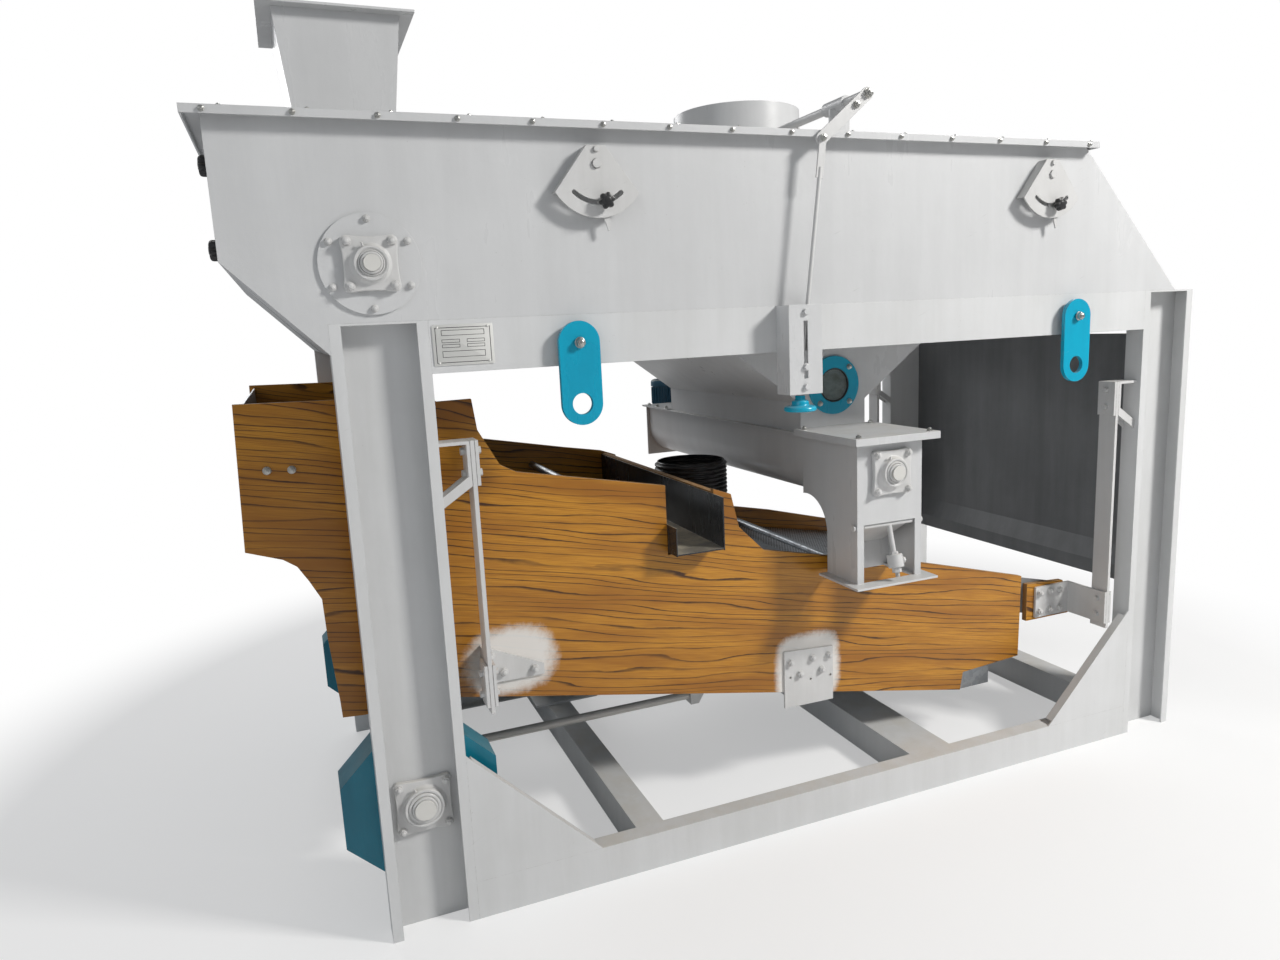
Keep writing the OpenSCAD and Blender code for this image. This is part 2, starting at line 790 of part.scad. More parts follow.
module flange_bearings() {
    color(zinc) at_centre() {
        front_and_rear() {
            bearing(drive_x, post_d - frame_t, drive_z, drive_shaft_d, drive_pitch());
            bearing(feed_x, -disc_t, feed_z, feed_shaft_d, feed_pitch());
        }
        bearing(auger_x, 0, auger_z, auger_shaft_d, auger_pitch());
        translate([0, trough_end + frame_t, 0]) mirror([0, 1, 0])
            bearing(auger_x, 0, auger_z, auger_shaft_d, auger_pitch());
    }
}

// Gearbox with its motor behind a bearing at y, turned about the shaft
module gearmotor(x, y, z, shaft_r, turn) {
    translate([x, y, z]) {
        difference() {
            translate([-60, bearing_len + 4, -75]) cube([120, gear_d, 135]);
            along_y(0, 0, bearing_len + 3, gear_d - 4, shaft_r + shaft_gap);
        }
        translate([0, bearing_len + 4 + gear_d / 2, 0]) rotate([0, turn, 0])
            translate([0, 0, 60]) {
                cylinder(h = 12, r = 52);
                translate([0, 0, 11]) cylinder(h = 150, r = 44);
                for (h = [24:14:136]) translate([0, 0, h]) cylinder(h = 4, r = 50);
                translate([0, 0, 160]) cylinder(h = 34, r = 50);
                translate([-28, 40, 50]) cube([56, 12, 60]);
            }
        translate([-20, 0, -75]) cube([40, bearing_len + 5, 10]);
    }
}

module gearmotors() {
    color(guard_teal) at_centre() {
        gearmotor(feed_x, frame_depth + disc_t, feed_z, feed_shaft_d / 2, 90);
        gearmotor(auger_x, trough_end + frame_t, auger_z, auger_shaft_d / 2, 0);
    }
}

// Folded plate from the hopper's top edge down its slope to the neck
module hopper_slope() {
    x0 = auger_x - hopper_half;
    x1 = auger_x - neck_half;
    upright(hopper_y + sheet_t, hopper_end - hopper_y - 2 * sheet_t)
        polygon([[x0, post_h], [x1, neck_z], [x1, trough_top + sheet_t],
            [x1 + sheet_t, trough_top + sheet_t], [x1 + sheet_t, neck_z + 1.4 * sheet_t / 2],
            [x0 + 1.7 * sheet_t, post_h]]);
}

module hopper_slopes() {
    color(paint) at_centre() {
        hopper_slope();
        translate([2 * auger_x, 0, 0]) mirror([1, 0, 0]) hopper_slope();
    }
}

module hopper_outline() {
    polygon([[auger_x - hopper_half, post_h], [auger_x - neck_half, neck_z],
        [auger_x - neck_half, trough_top + sheet_t], [auger_x + neck_half, trough_top + sheet_t],
        [auger_x + neck_half, neck_z], [auger_x + hopper_half, post_h]]);
}

module hopper_end_plates() {
    color(paint) at_centre() difference() {
        union() {
            upright(hopper_y, sheet_t) hopper_outline();
            upright(hopper_end - sheet_t, sheet_t) hopper_outline();
        }
        along_y(auger_x, sight_z, hopper_y - 1, sheet_t + 2, glass_d / 2);
    }
}

module sight_ring() {
    color(teal) at_centre() {
        difference() {
            along_y(auger_x, sight_z, hopper_y - 9, 9, sight_d / 2);
            along_y(auger_x, sight_z, hopper_y - 10, 11, glass_d / 2);
            along_y(auger_x, sight_z, hopper_y - 5, 6, glass_d / 2 + 11);
        }
        for (a = [45:90:315])
            bolt_head(auger_x + 0.42 * sight_d * cos(a), hopper_y - 9,
                sight_z + 0.42 * sight_d * sin(a), small_bolt_d + 2);
    }
}

module sight_glass() {
    color([0.75, 0.85, 0.85, 0.5]) at_centre()
        along_y(auger_x, sight_z, hopper_y - 4.7, 4.4, glass_d / 2 + 10.6);
}

// Cross-section of the trough, as an outline drawn round the auger's axis
module trough_outline(r) {
    circle(r = r);
    translate([-r, 0]) square([2 * r, trough_top - auger_z]);
}

module auger_trough() {
    r = trough_w / 2;
    color(paint) at_centre() translate([auger_x, 0, auger_z]) {
        difference() {
            union() {
                upright(head_d, trough_end - head_d) trough_outline(r);
                translate([-r - head_over, hopper_y, trough_top - auger_z])
                    cube([2 * (r + head_over), trough_end - hopper_y, sheet_t]);
            }
            translate([0, 0, eps]) upright(head_d - 1, trough_end - head_d + 2) {
                circle(r = r - sheet_t);
                translate([-r + sheet_t, 0]) square([2 * (r - sheet_t), trough_top]);
            }
        }
        difference() {
            upright(trough_end, frame_t) {
                translate([-r - 12, -r - 12])
                    square([2 * r + 24, trough_top - auger_z + sheet_t + r + 12]);
            }
            bearing_holes(0, 0, trough_end - 1, frame_t + 2, auger_shaft_d, auger_pitch());
        }
        translate([-r - head_over, hopper_end, trough_top - auger_z + sheet_t])
            cube([2 * (r + head_over), trough_end + frame_t - hopper_end, sheet_t]);
    }
}

module auger_head() {
    w = trough_w / 2 + sheet_t;
    foot_in = trough_w / 2;
    color(paint) at_centre() translate([auger_x, 0, 0]) {
        difference() {
            translate([-w, 0, head_foot]) cube([2 * w, frame_t, trough_top - head_foot]);
            translate([-w + window_jamb, -1, head_foot - 1])
                cube([2 * (w - window_jamb), frame_t + 2, window_top - head_foot + 1]);
            bearing_holes(0, auger_z, -1, frame_t + 2, auger_shaft_d, auger_pitch());
        }
        for (x = [-w, w - sheet_t]) difference() {
            sideways(x, sheet_t) polygon([[frame_t, head_foot], [head_d, head_foot],
                [head_d, 816], [hopper_y, 816], [hopper_y, trough_top], [frame_t, trough_top]]);
            translate([x - 1, hopper_y - 22, 816 - 12]) rotate([0, 90, 0])
                cylinder(h = sheet_t + 2, r = 105);
            translate([x - 1, flap_y, flap_z]) rotate([0, 90, 0])
                cylinder(h = sheet_t + 2, r = 5 + shaft_gap);
        }
        difference() {
            translate([-foot_in, head_d - leg_wall, head_foot])
                cube([2 * foot_in, leg_wall, auger_z - head_foot]);
            along_y(0, auger_z, head_d - leg_wall - 1, leg_wall + 2, trough_w / 2 - sheet_t);
        }
        difference() {
            translate([-w - head_over + sheet_t, -40, head_foot - 6])
                cube([2 * (w + head_over - sheet_t), head_d + 43, 6]);
            translate([-w + window_jamb, frame_t, head_foot - 7])
                cube([2 * (w - window_jamb), head_d - leg_wall - frame_t, 8]);
        }
        difference() {
            translate([-w - head_over + sheet_t, -34, trough_top])
                cube([2 * (w + head_over - sheet_t), hopper_y + 34, 10]);
            translate([-foot_in, frame_t, trough_top - 1])
                cube([2 * foot_in, hopper_y - frame_t - 22, 12]);
        }
    }
}

module auger_head_lid() {
    w = trough_w / 2 + head_over + sheet_t;
    color(paint) at_centre() translate([auger_x, 0, trough_top + 10]) {
        translate([-w, -40, 0]) cube([2 * w, hopper_y + 40, 4]);
        translate([-w, -40, -16]) cube([2 * w, 4, 17]);
        for (x = [-w, w - 3]) translate([x, -40, -16]) cube([3, hopper_y + 40, 17]);
    }
}

module auger_shaft() {
    color(steel) at_centre()
        along_y(auger_x, auger_z, -bearing_len - 6, trough_end + bearing_len + 96,
            auger_shaft_d / 2);
}

module auger_flight() {
    len = trough_end - head_d - 40;
    r0 = auger_shaft_d / 2 + 0.3;
    color(steel) at_centre() translate([auger_x, head_d + len + 20, auger_z])
        rotate([90, 0, 0])
            linear_extrude(height = len, twist = -360 * len / flight_pitch, slices = 180,
                $fn = 8)
                polygon([for (a = [0, 10]) r0 * [cos(a), sin(a)],
                    for (a = [10, 5, 0]) flight_d / 2 * [cos(a), sin(a)]]);
}

// Flap in the discharge head with the weighted lever that holds it shut
module discharge_flap() {
    w = trough_w / 2 - window_jamb - 2;
    lean = 16;
    color(zinc) at_centre() translate([auger_x, flap_y, flap_z]) {
        rotate([0, 90, 0]) translate([0, 0, -trough_w / 2 - 12])
            cylinder(h = trough_w + 24, r = 5);
        for (x = [-trough_w / 2 - 11, trough_w / 2 + 4]) translate([x, 0, 0])
            rotate([0, 90, 0]) cylinder(h = 7, r = 9);
        translate([-w, 0, 0]) rotate([0, 90, 0]) cylinder(h = 2 * w, r = 7.5);
        rotate([-flap_fall, 0, 0]) translate([-w, 0, -1])
            cube([2 * w, (head_d - leg_wall - flap_y) / cos(flap_fall) - 3, 2]);
        rotate([-lean, 0, 0]) translate([6, 0, -152]) {
            cylinder(h = 148, r = 7);
            translate([-22, -18, 26]) cube([44, 36, 38]);
            translate([0, 0, 12]) cylinder(h = 14, r = 13, $fn = 6);
            translate([0, 0, 63]) cylinder(h = 8, r = 12, $fn = 6);
        }
    }
}

// Lever, shaft and disc of the valve in the outlet
module outlet_valve() {
    color(zinc) at_centre() {
        along_y(outlet_x, valve_z, valve_y - lever_t, mid_depth + outlet_d / 2 + 14 - valve_y,
            valve_shaft_r);
        translate([outlet_x, valve_y, valve_z]) rotate([0, 180 - lever_angle, 0]) difference() {
            union() {
                translate([0, -lever_t, -15.5]) cube([lever_len, lever_t, 31]);
                along_y(0, 0, -lever_t, lever_t, 15.5);
                along_y(lever_len, 0, -lever_t, lever_t, 15.5);
            }
            along_y(45, 0, -lever_t - 1, lever_t + 2, 6);
        }
        along_y(lever_pin_x, lever_pin_z, valve_y - 3 * lever_t - 1, 2 * lever_t + 2, 5);
        translate([outlet_x, 0, valve_z]) rotate([0, 12, 0]) translate([0, mid_depth, -1.5])
            cylinder(h = 3, r = outlet_d / 2 - 6, $fn = 96);
    }
}

// Flat link from the valve's lever down to a rod that slides in the guide
module valve_link() {
    y0 = valve_y - lever_t - move_gap;
    color(zinc) at_centre() translate([lever_pin_x, 0, lever_pin_z]) rotate([0, link_lean, 0]) {
        difference() {
            union() {
                translate([-10, y0 - lever_t, -96]) cube([20, lever_t, 96]);
                along_y(0, 0, y0 - lever_t, lever_t, 10);
            }
            along_y(0, 0, y0 - lever_t - 1, lever_t + 2, 5 + shaft_gap);
        }
        translate([0, y0 - lever_t / 2, -link_len]) cylinder(h = link_len - 70, r = 5);
    }
}

module link_guide() {
    x0 = guide_x - guide_w / 2;
    top = post_h;
    color(paint) at_centre() {
        difference() {
            translate([x0, -guide_d, guide_low]) cube([guide_w, guide_d, top - guide_low]);
            translate([x0 + sheet_t, -guide_d + sheet_t, guide_low + 2 * sheet_t])
                cube([guide_w - 2 * sheet_t, guide_d, top - guide_low]);
            translate([guide_x - 6, -guide_d - 1, guide_low + 40]) cube([12, sheet_t + 2, 145]);
            translate([guide_x, -guide_d / 2, guide_low - 1])
                cylinder(h = 2 * sheet_t + 2, r = 8 + shaft_gap);
        }
        for (z = [guide_low + 19, guide_low + 69, top - 18])
            bolt_head(guide_x, -guide_d, z, 9);
    }
}

module handwheel() {
    color(black) at_centre() translate([guide_x, -guide_d / 2, 0]) {
        translate([0, 0, guide_low - 38]) {
            rotate_extrude($fn = 64) translate([wheel_d / 2 - 7, 0]) circle(r = 7);
            translate([0, 0, -3]) cylinder(h = 18, r1 = wheel_d / 2 - 7, r2 = 14);
            translate([0, 0, -8]) cylinder(h = 44, r = 13);
        }
        translate([0, 0, guide_low - 30]) cylinder(h = 76, r = 8);
        translate([0, 0, guide_low + 2 * sheet_t + 0.5]) cylinder(h = 8, r = 14);
    }
}

// Sector plate with its curved slot and its sides folded back to the casing
module quadrant(x) {
    y0 = -quadrant_off - quadrant_t;
    r = slot_r + 35;
    low_a = slot_half + 16;
    translate([x, 0, damper_z]) {
        difference() {
            intersection() {
                along_y(0, 0, y0, quadrant_t, r);
                upright(y0 - 1, quadrant_t + 2) polygon([[-r * sin(low_a), -r * cos(low_a)],
                    [-22, 40], [22, 40], [r * sin(low_a), -r * cos(low_a)],
                    [r * sin(low_a), -2 * r], [-r * sin(low_a), -2 * r]]);
            }
            along_y(0, 0, y0 - 1, quadrant_t + 2, damper_shaft_r + 1);
            difference() {
                intersection() {
                    along_y(0, 0, y0 - 1, quadrant_t + 2, slot_r + 5.5);
                    upright(y0 - 2, quadrant_t + 4) polygon([[0, 0],
                        [-2 * slot_r * sin(slot_half), -2 * slot_r * cos(slot_half)],
                        [2 * slot_r * sin(slot_half), -2 * slot_r * cos(slot_half)]]);
                }
                along_y(0, 0, y0 - 2, quadrant_t + 4, slot_r - 5.5);
            }
            for (s = [-1, 1]) along_y(s * slot_r * sin(slot_half), -slot_r * cos(slot_half),
                y0 - 1, quadrant_t + 2, 5.5);
        }
        along_y(0, 31, -quadrant_off, quadrant_off, 6);
        bolt_head(0, y0, 31, 7);
        for (s = [-1, 1]) upright(-quadrant_off - 1, quadrant_off + 1) polygon([[s * 22, 40],
            [s * r * sin(low_a), -r * cos(low_a)], [s * (r * sin(low_a) - 4), -r * cos(low_a)],
            [s * 18, 40]]);
    }
}

module damper_quadrants() {
    color(paint) at_centre() {
        quadrant(damper_a_x);
        quadrant(damper_b_x);
    }
}

// Shaft across the casing with its blade inside and its lever outside
module damper(x) {
    y0 = lever_t + 1 - quadrant_off;
    color(zinc) at_centre() translate([x, 0, damper_z]) rotate([0, -damper_rest, 0]) {
        along_y(0, 0, y0 - 2 * lever_t - 6, frame_depth + 60, damper_shaft_r);
        translate([-2, 14, -blade_len]) cube([4, frame_depth - 28, blade_len - 4]);
        difference() {
            union() {
                along_y(0, 0, y0 - lever_t, lever_t, 17);
                along_y(0, -slot_r, y0 - lever_t, lever_t, 14);
                upright(y0 - lever_t, lever_t) polygon([[-12, 0], [-12, -slot_r], [-3, -148],
                    [3, -148], [12, -slot_r], [12, 0]]);
            }
            along_y(0, -slot_r, y0 - lever_t - 1, lever_t + 2, 4 + shaft_gap);
        }
    }
}

module inlet_damper() damper(damper_a_x);

module outlet_damper() damper(damper_b_x);

module damper_knob(x) {
    y0 = -quadrant_off - quadrant_t - 0.5;
    color(black) at_centre() translate([x + slot_r * sin(damper_rest), y0,
        damper_z - slot_r * cos(damper_rest)]) rotate([90, 0, 0]) {
            star_knob(38, 26, 4, 18);
            translate([0, 0, -18]) cylinder(h = 7.5, r = 8);
        }
}

module inlet_damper_knob() damper_knob(damper_a_x);

module outlet_damper_knob() damper_knob(damper_b_x);

module name_plate() {
    color(zinc) at_centre() {
        translate([post_w + 6, -2, post_h - 101]) cube([136, 2, 90]);
        for (x = [12, 124], z = [-95, -17]) along_y(post_w + 6 + x, post_h + z, -4, 2.1, 3);
    }
}

module lifting_lug(x) {
    color(teal) at_centre() difference() {
        union() {
            for (z = [lug_bolt_z, lug_bolt_z - lug_drop])
                along_y(x, z, -lug_off - lug_t, lug_t, lug_w / 2);
            translate([x - lug_w / 2, -lug_off - lug_t, lug_bolt_z - lug_drop])
                cube([lug_w, lug_t, lug_drop]);
        }
        along_y(x, lug_bolt_z, -lug_off - lug_t - 1, lug_t + 2, lug_pin_d / 2 + shaft_gap);
        along_y(x, lug_bolt_z - lug_drop, -lug_off - lug_t - 1, lug_t + 2, lug_hole_d / 2);
    }
}

module left_lifting_lug() lifting_lug(lug_a_x);

module right_lifting_lug() lifting_lug(lug_b_x);

module end_panel() {
    x = frame_len - 55;
    z = post_h - 865;
    color(grey) at_centre() {
        upright(160, hopper_end - 160) polygon([[x, z + 730], [x, z], [x - 24, z - 70],
            [x - 24, z - 120], [x - 21, z - 120], [x - 21, z - 71], [x + sheet_t, z - 1],
            [x + sheet_t, z + 730]]);
        for (h = [100, 600]) translate([x - 5, post_d, z + h]) cube([5, 130, 40]);
    }
}

// Outline of the boat's wooden side panels
module panel_outline() {
    polygon([[boat_left, boat_top], [-225, 961], [-147, 933], [-118, 912], [-96, 874], [-72, 825],
        [-69, 726], [-57, 567], [-55, boat_low + 6], [-3, boat_low + 2], [fall_x, boat_low],
        [fall_end, low_z(fall_end)], [fall_end + 11, low_z(fall_end) + 59],
        [boat_right - 6, low_z(fall_end) + 73], [boat_right, 553], [1692, 658], [1356, 728],
        [1129, 778], [1050, 857], [chute_x[1] + 54, 955], [chute_x[1], 975],
        [chute_x[0] + 5, 1000], [422, 1081], [380, 1104], [330, 1197], [321, boat_top - 26],
        [fall_x + 7, boat_top - 27], [fall_x - 20, boat_top - 10]]);
}

module boat_side_panels() {
    x = chute_x[1];
    color(wood) at_centre() {
        difference() {
            front_and_rear() {
                upright(boat_y, panel_t) panel_outline();
                upright(boat_y, panel_t) polygon([[boat_right + 26, 392],
                    [boat_right + 26, 520], [2282, 512], [2312, 470], [2312, 392]]);
            }
            translate([chute_x[0], boat_y - 1, 806]) cube([x - chute_x[0], panel_t + 2, 220]);
        }
        // Board across the boat behind the side chute
        upright(boat_in, boat_clear) polygon([[x, deck_top(x, upper_deck)], [x, 966],
            [x + panel_t, 966], [x + panel_t, deck_top(x + panel_t, upper_deck)]]);
    }
}

// Plate between the side panels, from one point to the next
module pan_plate(a, b) {
    d = b - a;
    n = [-d[1], d[0]] / norm(d) * pan_t;
    upright(boat_in, boat_clear) polygon([a, b, b + n, a + n]);
}

module boat_pan() {
    color(grey) at_centre() {
        pan_plate([fall_x, low_z(fall_x)], [fall_end, low_z(fall_end)]);
        pan_plate([-50, boat_low + 8], [fall_x, low_z(fall_x)]);
        pan_plate([-64, 830], [-50, boat_low + 8]);
        pan_plate([-200, 1060], [-64, 830]);
        pan_plate([-200, boat_top - 10], [-200, 1060]);
        pan_plate([fall_x, 1150], [fall_x, 1265]);
        // Spout for the fine seeds at the low end
        difference() {
            translate([fall_end + 14, boat_in, 196]) cube([120, boat_clear, 68]);
            translate([fall_end + 14 + pan_t, boat_in + pan_t, 195])
                cube([120 - 2 * pan_t, boat_clear - 2 * pan_t, 70]);
        }
        // Bridge over the screens with the sleeve's collar
        difference() {
            union() {
                translate([sleeve_x - 120, boat_in, sleeve_low]) cube([240, boat_clear, pan_t]);
                translate([sleeve_x, sleeve_y, sleeve_low])
                    cylinder(h = 130, r = sleeve_r - shaft_gap, $fn = 64);
            }
            translate([sleeve_x, sleeve_y, sleeve_low - 1])
                cylinder(h = 140, r = sleeve_r - pan_t, $fn = 64);
        }
        // Cross rods that tie the two side panels together
        for (p = [[700, 950], [1500, 650], [1960, 330]])
            along_y(p[0], p[1], boat_in, boat_clear, 12);
    }
}

// Height of a deck's upper face at a place along the boat
function deck_top(x, over) = low_z(x) + over + deck_t / cos(tilt);

// Sieve frame with its sheet, along the boat's slope
module deck(x0, x1, over) {
    len = (x1 - x0) / cos(tilt);
    bar = 40;
    translate([x0, boat_in + 4, low_z(x0) + over]) rotate([0, tilt, 0]) difference() {
        cube([len, boat_clear - 8, deck_t]);
        for (i = [0:2]) translate([bar + i * (len - bar) / 3, bar, -1])
            cube([(len - bar) / 3 - bar, boat_clear - 8 - 2 * bar, deck_t - 1]);
    }
}

module screen_decks() {
    color(zinc) at_centre() {
        deck(fall_x + 20, fall_end - 20, lower_deck);
        deck(fall_x + 20, boat_right - 115, upper_deck);
        deck(fall_x + 20, chute_x[0] - 8, scalp_deck);
        // Rails that carry the decks along both side panels
        for (y = [boat_in, boat_back - panel_t - 20], p = [[fall_end - 20, lower_deck],
            [boat_right - 115, upper_deck], [chute_x[0] - 8, scalp_deck]])
            upright(y, 20) polygon([[fall_x + 20, low_z(fall_x + 20) + p[1] - 16],
                [fall_x + 20, low_z(fall_x + 20) + p[1] + 3], [p[0], low_z(p[0]) + p[1] + 3],
                [p[0], low_z(p[0]) + p[1] - 16]]);
    }
}

// Arm from the boat to a hanger's lower end, with the clamp and its bolts
module clamp_arm(z, run, cut, spots) {
    x0 = left_blade + hanger_t + move_gap;
    half = clamp_len / 2;
    translate([x0, hanger_y, z - half]) cube([8, boat_y - hanger_y, 2 * half]);
    upright(boat_y - 8, 8) polygon([[x0, z - half], [x0 + run, z - half],
        [x0 + run, z + half - cut], [x0, z + half]]);
    translate([left_blade - move_gap - 8, hanger_y, z - half]) cube([8, hanger_b, 2 * half]);
    for (s = [-1, 1]) translate([0, hanger_y + hanger_b / 2, z + s * half / 2]) {
        translate([left_blade - move_gap - 18, 0, 0]) rotate([0, 90, 0]) {
            cylinder(h = hanger_t + 2 * move_gap + 36, r = bolt_d / 2);
            cylinder(h = 10, r = 0.9 * bolt_d, $fn = 6);
            translate([0, 0, hanger_t + 2 * move_gap + 26]) cylinder(h = 10, r = 0.9 * bolt_d,
                $fn = 6);
        }
    }
    for (p = spots) bolt_head(x0 + p[0] * run, boat_y - 8, z + p[1] * half, bolt_d);
}

module boat_brackets() {
    color(steel) at_centre() front_and_rear() {
        clamp_arm(low_clamp_z, 164, 76, [[0.15, 0.42], [0.34, -0.5], [0.84, -0.62]]);
        translate([frame_len, 0, 0]) mirror([1, 0, 0]) clamp_arm(low_clamp_right, 150, 0,
            [for (u = [0.3, 0.6, 0.9], s = [-0.6, 0.6]) [u, s]]);
        difference() {
            upright(boat_y - 6, 6) polygon([[1186, low_z(1186) - 50], [1186, low_z(1186) + 128],
                [1355, low_z(1355) + 150], [1355, low_z(1355) - 20]]);
            for (p = [[1206, 48], [1276, 44], [1346, 58]])
                along_y(p[0], low_z(p[0]) + p[1], boat_y - 7, 8, 4);
        }
        for (p = [[1206, 96], [1282, 112], [1340, 122], [1238, 60], [1314, 76]])
            bolt_head(p[0], boat_y - 6, low_z(p[0]) + p[1], bolt_d);
        for (p = [[-158, 1145], [-105, 1142]]) bolt_head(p[0], boat_y, p[1], bolt_d - 2);
        // Block under the pan that takes the connecting rod's end
        upright(mid_depth - 345, 40) polygon([[rod_x_end - 14, low_z(rod_x_end - 14)],
            [rod_x_end + 60, low_z(rod_x_end + 60)], [rod_x_end + 12, drive_z - 24],
            [rod_x_end - 14, drive_z - 24]]);
    }
}

// Trough across the boat that takes the scalped material out
module side_chute() {
    w = chute_x[1] - chute_x[0];
    color(grey) at_centre() translate([chute_x[0], 0, 0]) {
        sideways(0, pan_t) polygon([[108, 814], [boat_back - panel_t, 826],
            [boat_back - panel_t, 836], [boat_in, 836], [boat_in, 893], [108, 893]]);
        sideways(w - pan_t, pan_t) polygon([[108, 814], [boat_in, 820], [boat_in, 740],
            [boat_back - panel_t, 740], [boat_back - panel_t, 962], [108, 962]]);
        sideways(pan_t, w - 2 * pan_t) polygon([[108, 816], [boat_back - panel_t, 828],
            [boat_back - panel_t, 832], [108, 820]]);
    }
}

// Chute at the boat's low end, between the wooden cheeks
module end_chute() {
    color(grey) at_centre() {
        front_and_rear() upright(boat_in, pan_t) polygon([[2010, 566], [2300, 498], [2300, 430],
            [2270, 386], [2010, 440]]);
        upright(boat_in + pan_t, boat_clear - 2 * pan_t) polygon([[2010, 446], [2262, 392],
            [2262, 396], [2010, 450]]);
    }
}

// Corrugated sleeve on the collar of the bridge over the screens
module suction_sleeve() {
    color(black) at_centre() translate([sleeve_x, sleeve_y, sleeve_low + pan_t])
        rotate_extrude($fn = 64) {
            translate([sleeve_r, 0]) square([4, 250]);
            for (h = [4:14:240]) translate([sleeve_r + 3, h]) square([10, 8]);
        }
}

// Bracket on the post's side that clamps a hanger's top
module hanger_bracket() {
    x1 = left_blade - move_gap;
    half = clamp_len / 2;
    translate([x1 - 8, hanger_y, clamp_z - half]) cube([8, hanger_b, 2 * half]);
    translate([post_w, hanger_y, clamp_z + half - 8]) cube([x1 - post_w, hanger_b, 8]);
    for (y = [hanger_y, hanger_y + hanger_b - 21]) upright(y, 6)
        polygon([[post_w, clamp_z - half - 46], [post_w, clamp_z - half - 20],
            [x1 - 1, clamp_z - half + 28], [x1 - 1, clamp_z - half]]);
    translate([left_blade + hanger_t + move_gap, hanger_y, clamp_z - half])
        cube([8, hanger_b, 2 * half]);
    for (s = [-1, 1]) translate([x1 - 18, hanger_y + hanger_b / 2, clamp_z + s * half / 2])
        rotate([0, 90, 0]) {
            cylinder(h = hanger_t + 2 * move_gap + 36, r = bolt_d / 2);
            cylinder(h = 10, r = 0.9 * bolt_d, $fn = 6);
            translate([0, 0, hanger_t + 2 * move_gap + 26]) cylinder(h = 10, r = 0.9 * bolt_d,
                $fn = 6);
        }
}

module hanger_brackets() {
    color(zinc) at_centre() front_and_rear() left_and_right() hanger_bracket();
}

// Flat blade with clearance holes for the clamp bolts at both ends
module hanger(low) {
    half = clamp_len / 2;
    difference() {
        translate([left_blade, hanger_y, low - half - 17])
            cube([hanger_t, hanger_b, clamp_z - low + 2 * half + 17]);
        for (z = [clamp_z - half / 2, clamp_z + half / 2, low - half / 2, low + half / 2])
            translate([left_blade - 1, hanger_y + hanger_b / 2, z]) rotate([0, 90, 0])
                cylinder(h = hanger_t + 2, r = bolt_d / 2 + move_gap);
    }
}

module left_hangers() {
    color(steel) at_centre() front_and_rear() hanger(low_clamp_z);
}

module right_hangers() {
    color(steel) at_centre() front_and_rear() translate([frame_len, 0, 0]) mirror([1, 0, 0])
        hanger(low_clamp_right);
}

// Pulley with side flanges, bored for its shaft
module pulley(x, z, d) {
    along_y(x, z, pulley_y, pulley_w, d / 2 - 5);
    along_y(x, z, pulley_y, 5, d / 2 + 5);
    along_y(x, z, pulley_y + pulley_w - 5, 5, d / 2 + 5);
}

module drive_shaft() {
    ring = flywheel_d / 2;
    color(steel) at_centre() {
        along_y(drive_x, drive_z, 14, pulley_y + pulley_w - 14, drive_shaft_d / 2);
        front_and_rear() {
            difference() {
                along_y(drive_x, drive_z, 92, 38, ring);
                along_y(drive_x, drive_z, 91, 12, ring - 24);
                for (a = [0:60:300]) along_y(drive_x + 0.62 * ring * cos(a),
                    drive_z + 0.62 * ring * sin(a), 90, 42, 24);
            }
            along_y(drive_x, drive_z, 84, 46, drive_shaft_d / 2 + 18);
            along_y(drive_x, drive_z + throw_e, mid_depth - 345, 40, ecc_d / 2);
        }
        pulley(drive_x, drive_z, pulley_d);
    }
}

module connecting_rods() {
    bore = ecc_d / 2 + 2 * throw_e + 1;
    color(steel) at_centre() front_and_rear() {
        difference() {
            along_y(drive_x, drive_z, mid_depth - 343, 36, bore + 18);
            along_y(drive_x, drive_z, mid_depth - 344, 38, bore);
        }
        translate([drive_x + bore + 12, mid_depth - 325, drive_z]) rotate([0, 90, 0]) {
            cylinder(h = rod_x_end - 14 - drive_x - bore - 12, r = 12);
            cylinder(h = 24, r = 17);
            translate([0, 0, 62]) cylinder(h = 44, r = 20, $fn = 6);
        }
    }
}

// Octagonal drum round a flywheel, open where the shaft passes
module flywheel_guard() {
    r = guard_w / 2 / cos(22.5);
    translate([drive_x, post_d, drive_z]) rotate([-90, 0, 0]) difference() {
        rotate([0, 0, 22.5]) cylinder(h = 100, r = r, $fn = 8);
        translate([0, 0, 2]) rotate([0, 0, 22.5]) cylinder(h = 96, r = r - 2.2, $fn = 8);
        translate([0, 0, -1]) cylinder(h = 102, r = drive_shaft_d / 2 + 8);
    }
}

// Points of an arc whose flats keep the radius
function arc(x, z, r, a0, a1) = [for (i = [0:30]) [x, z]
    + r / cos((a1 - a0) / 60) * [cos(a0 + i * (a1 - a0) / 30), sin(a0 + i * (a1 - a0) / 30)]];

// Outline round both pulleys at the given radii
module belt_outline(r1, r2) {
    g = leave(r1, r2);
    polygon(concat(arc(drive_x, drive_z, r1, belt_base + g, belt_base - g + 360),
        arc(motor_x, motor_z, r2, belt_base - g, belt_base + g)));
}

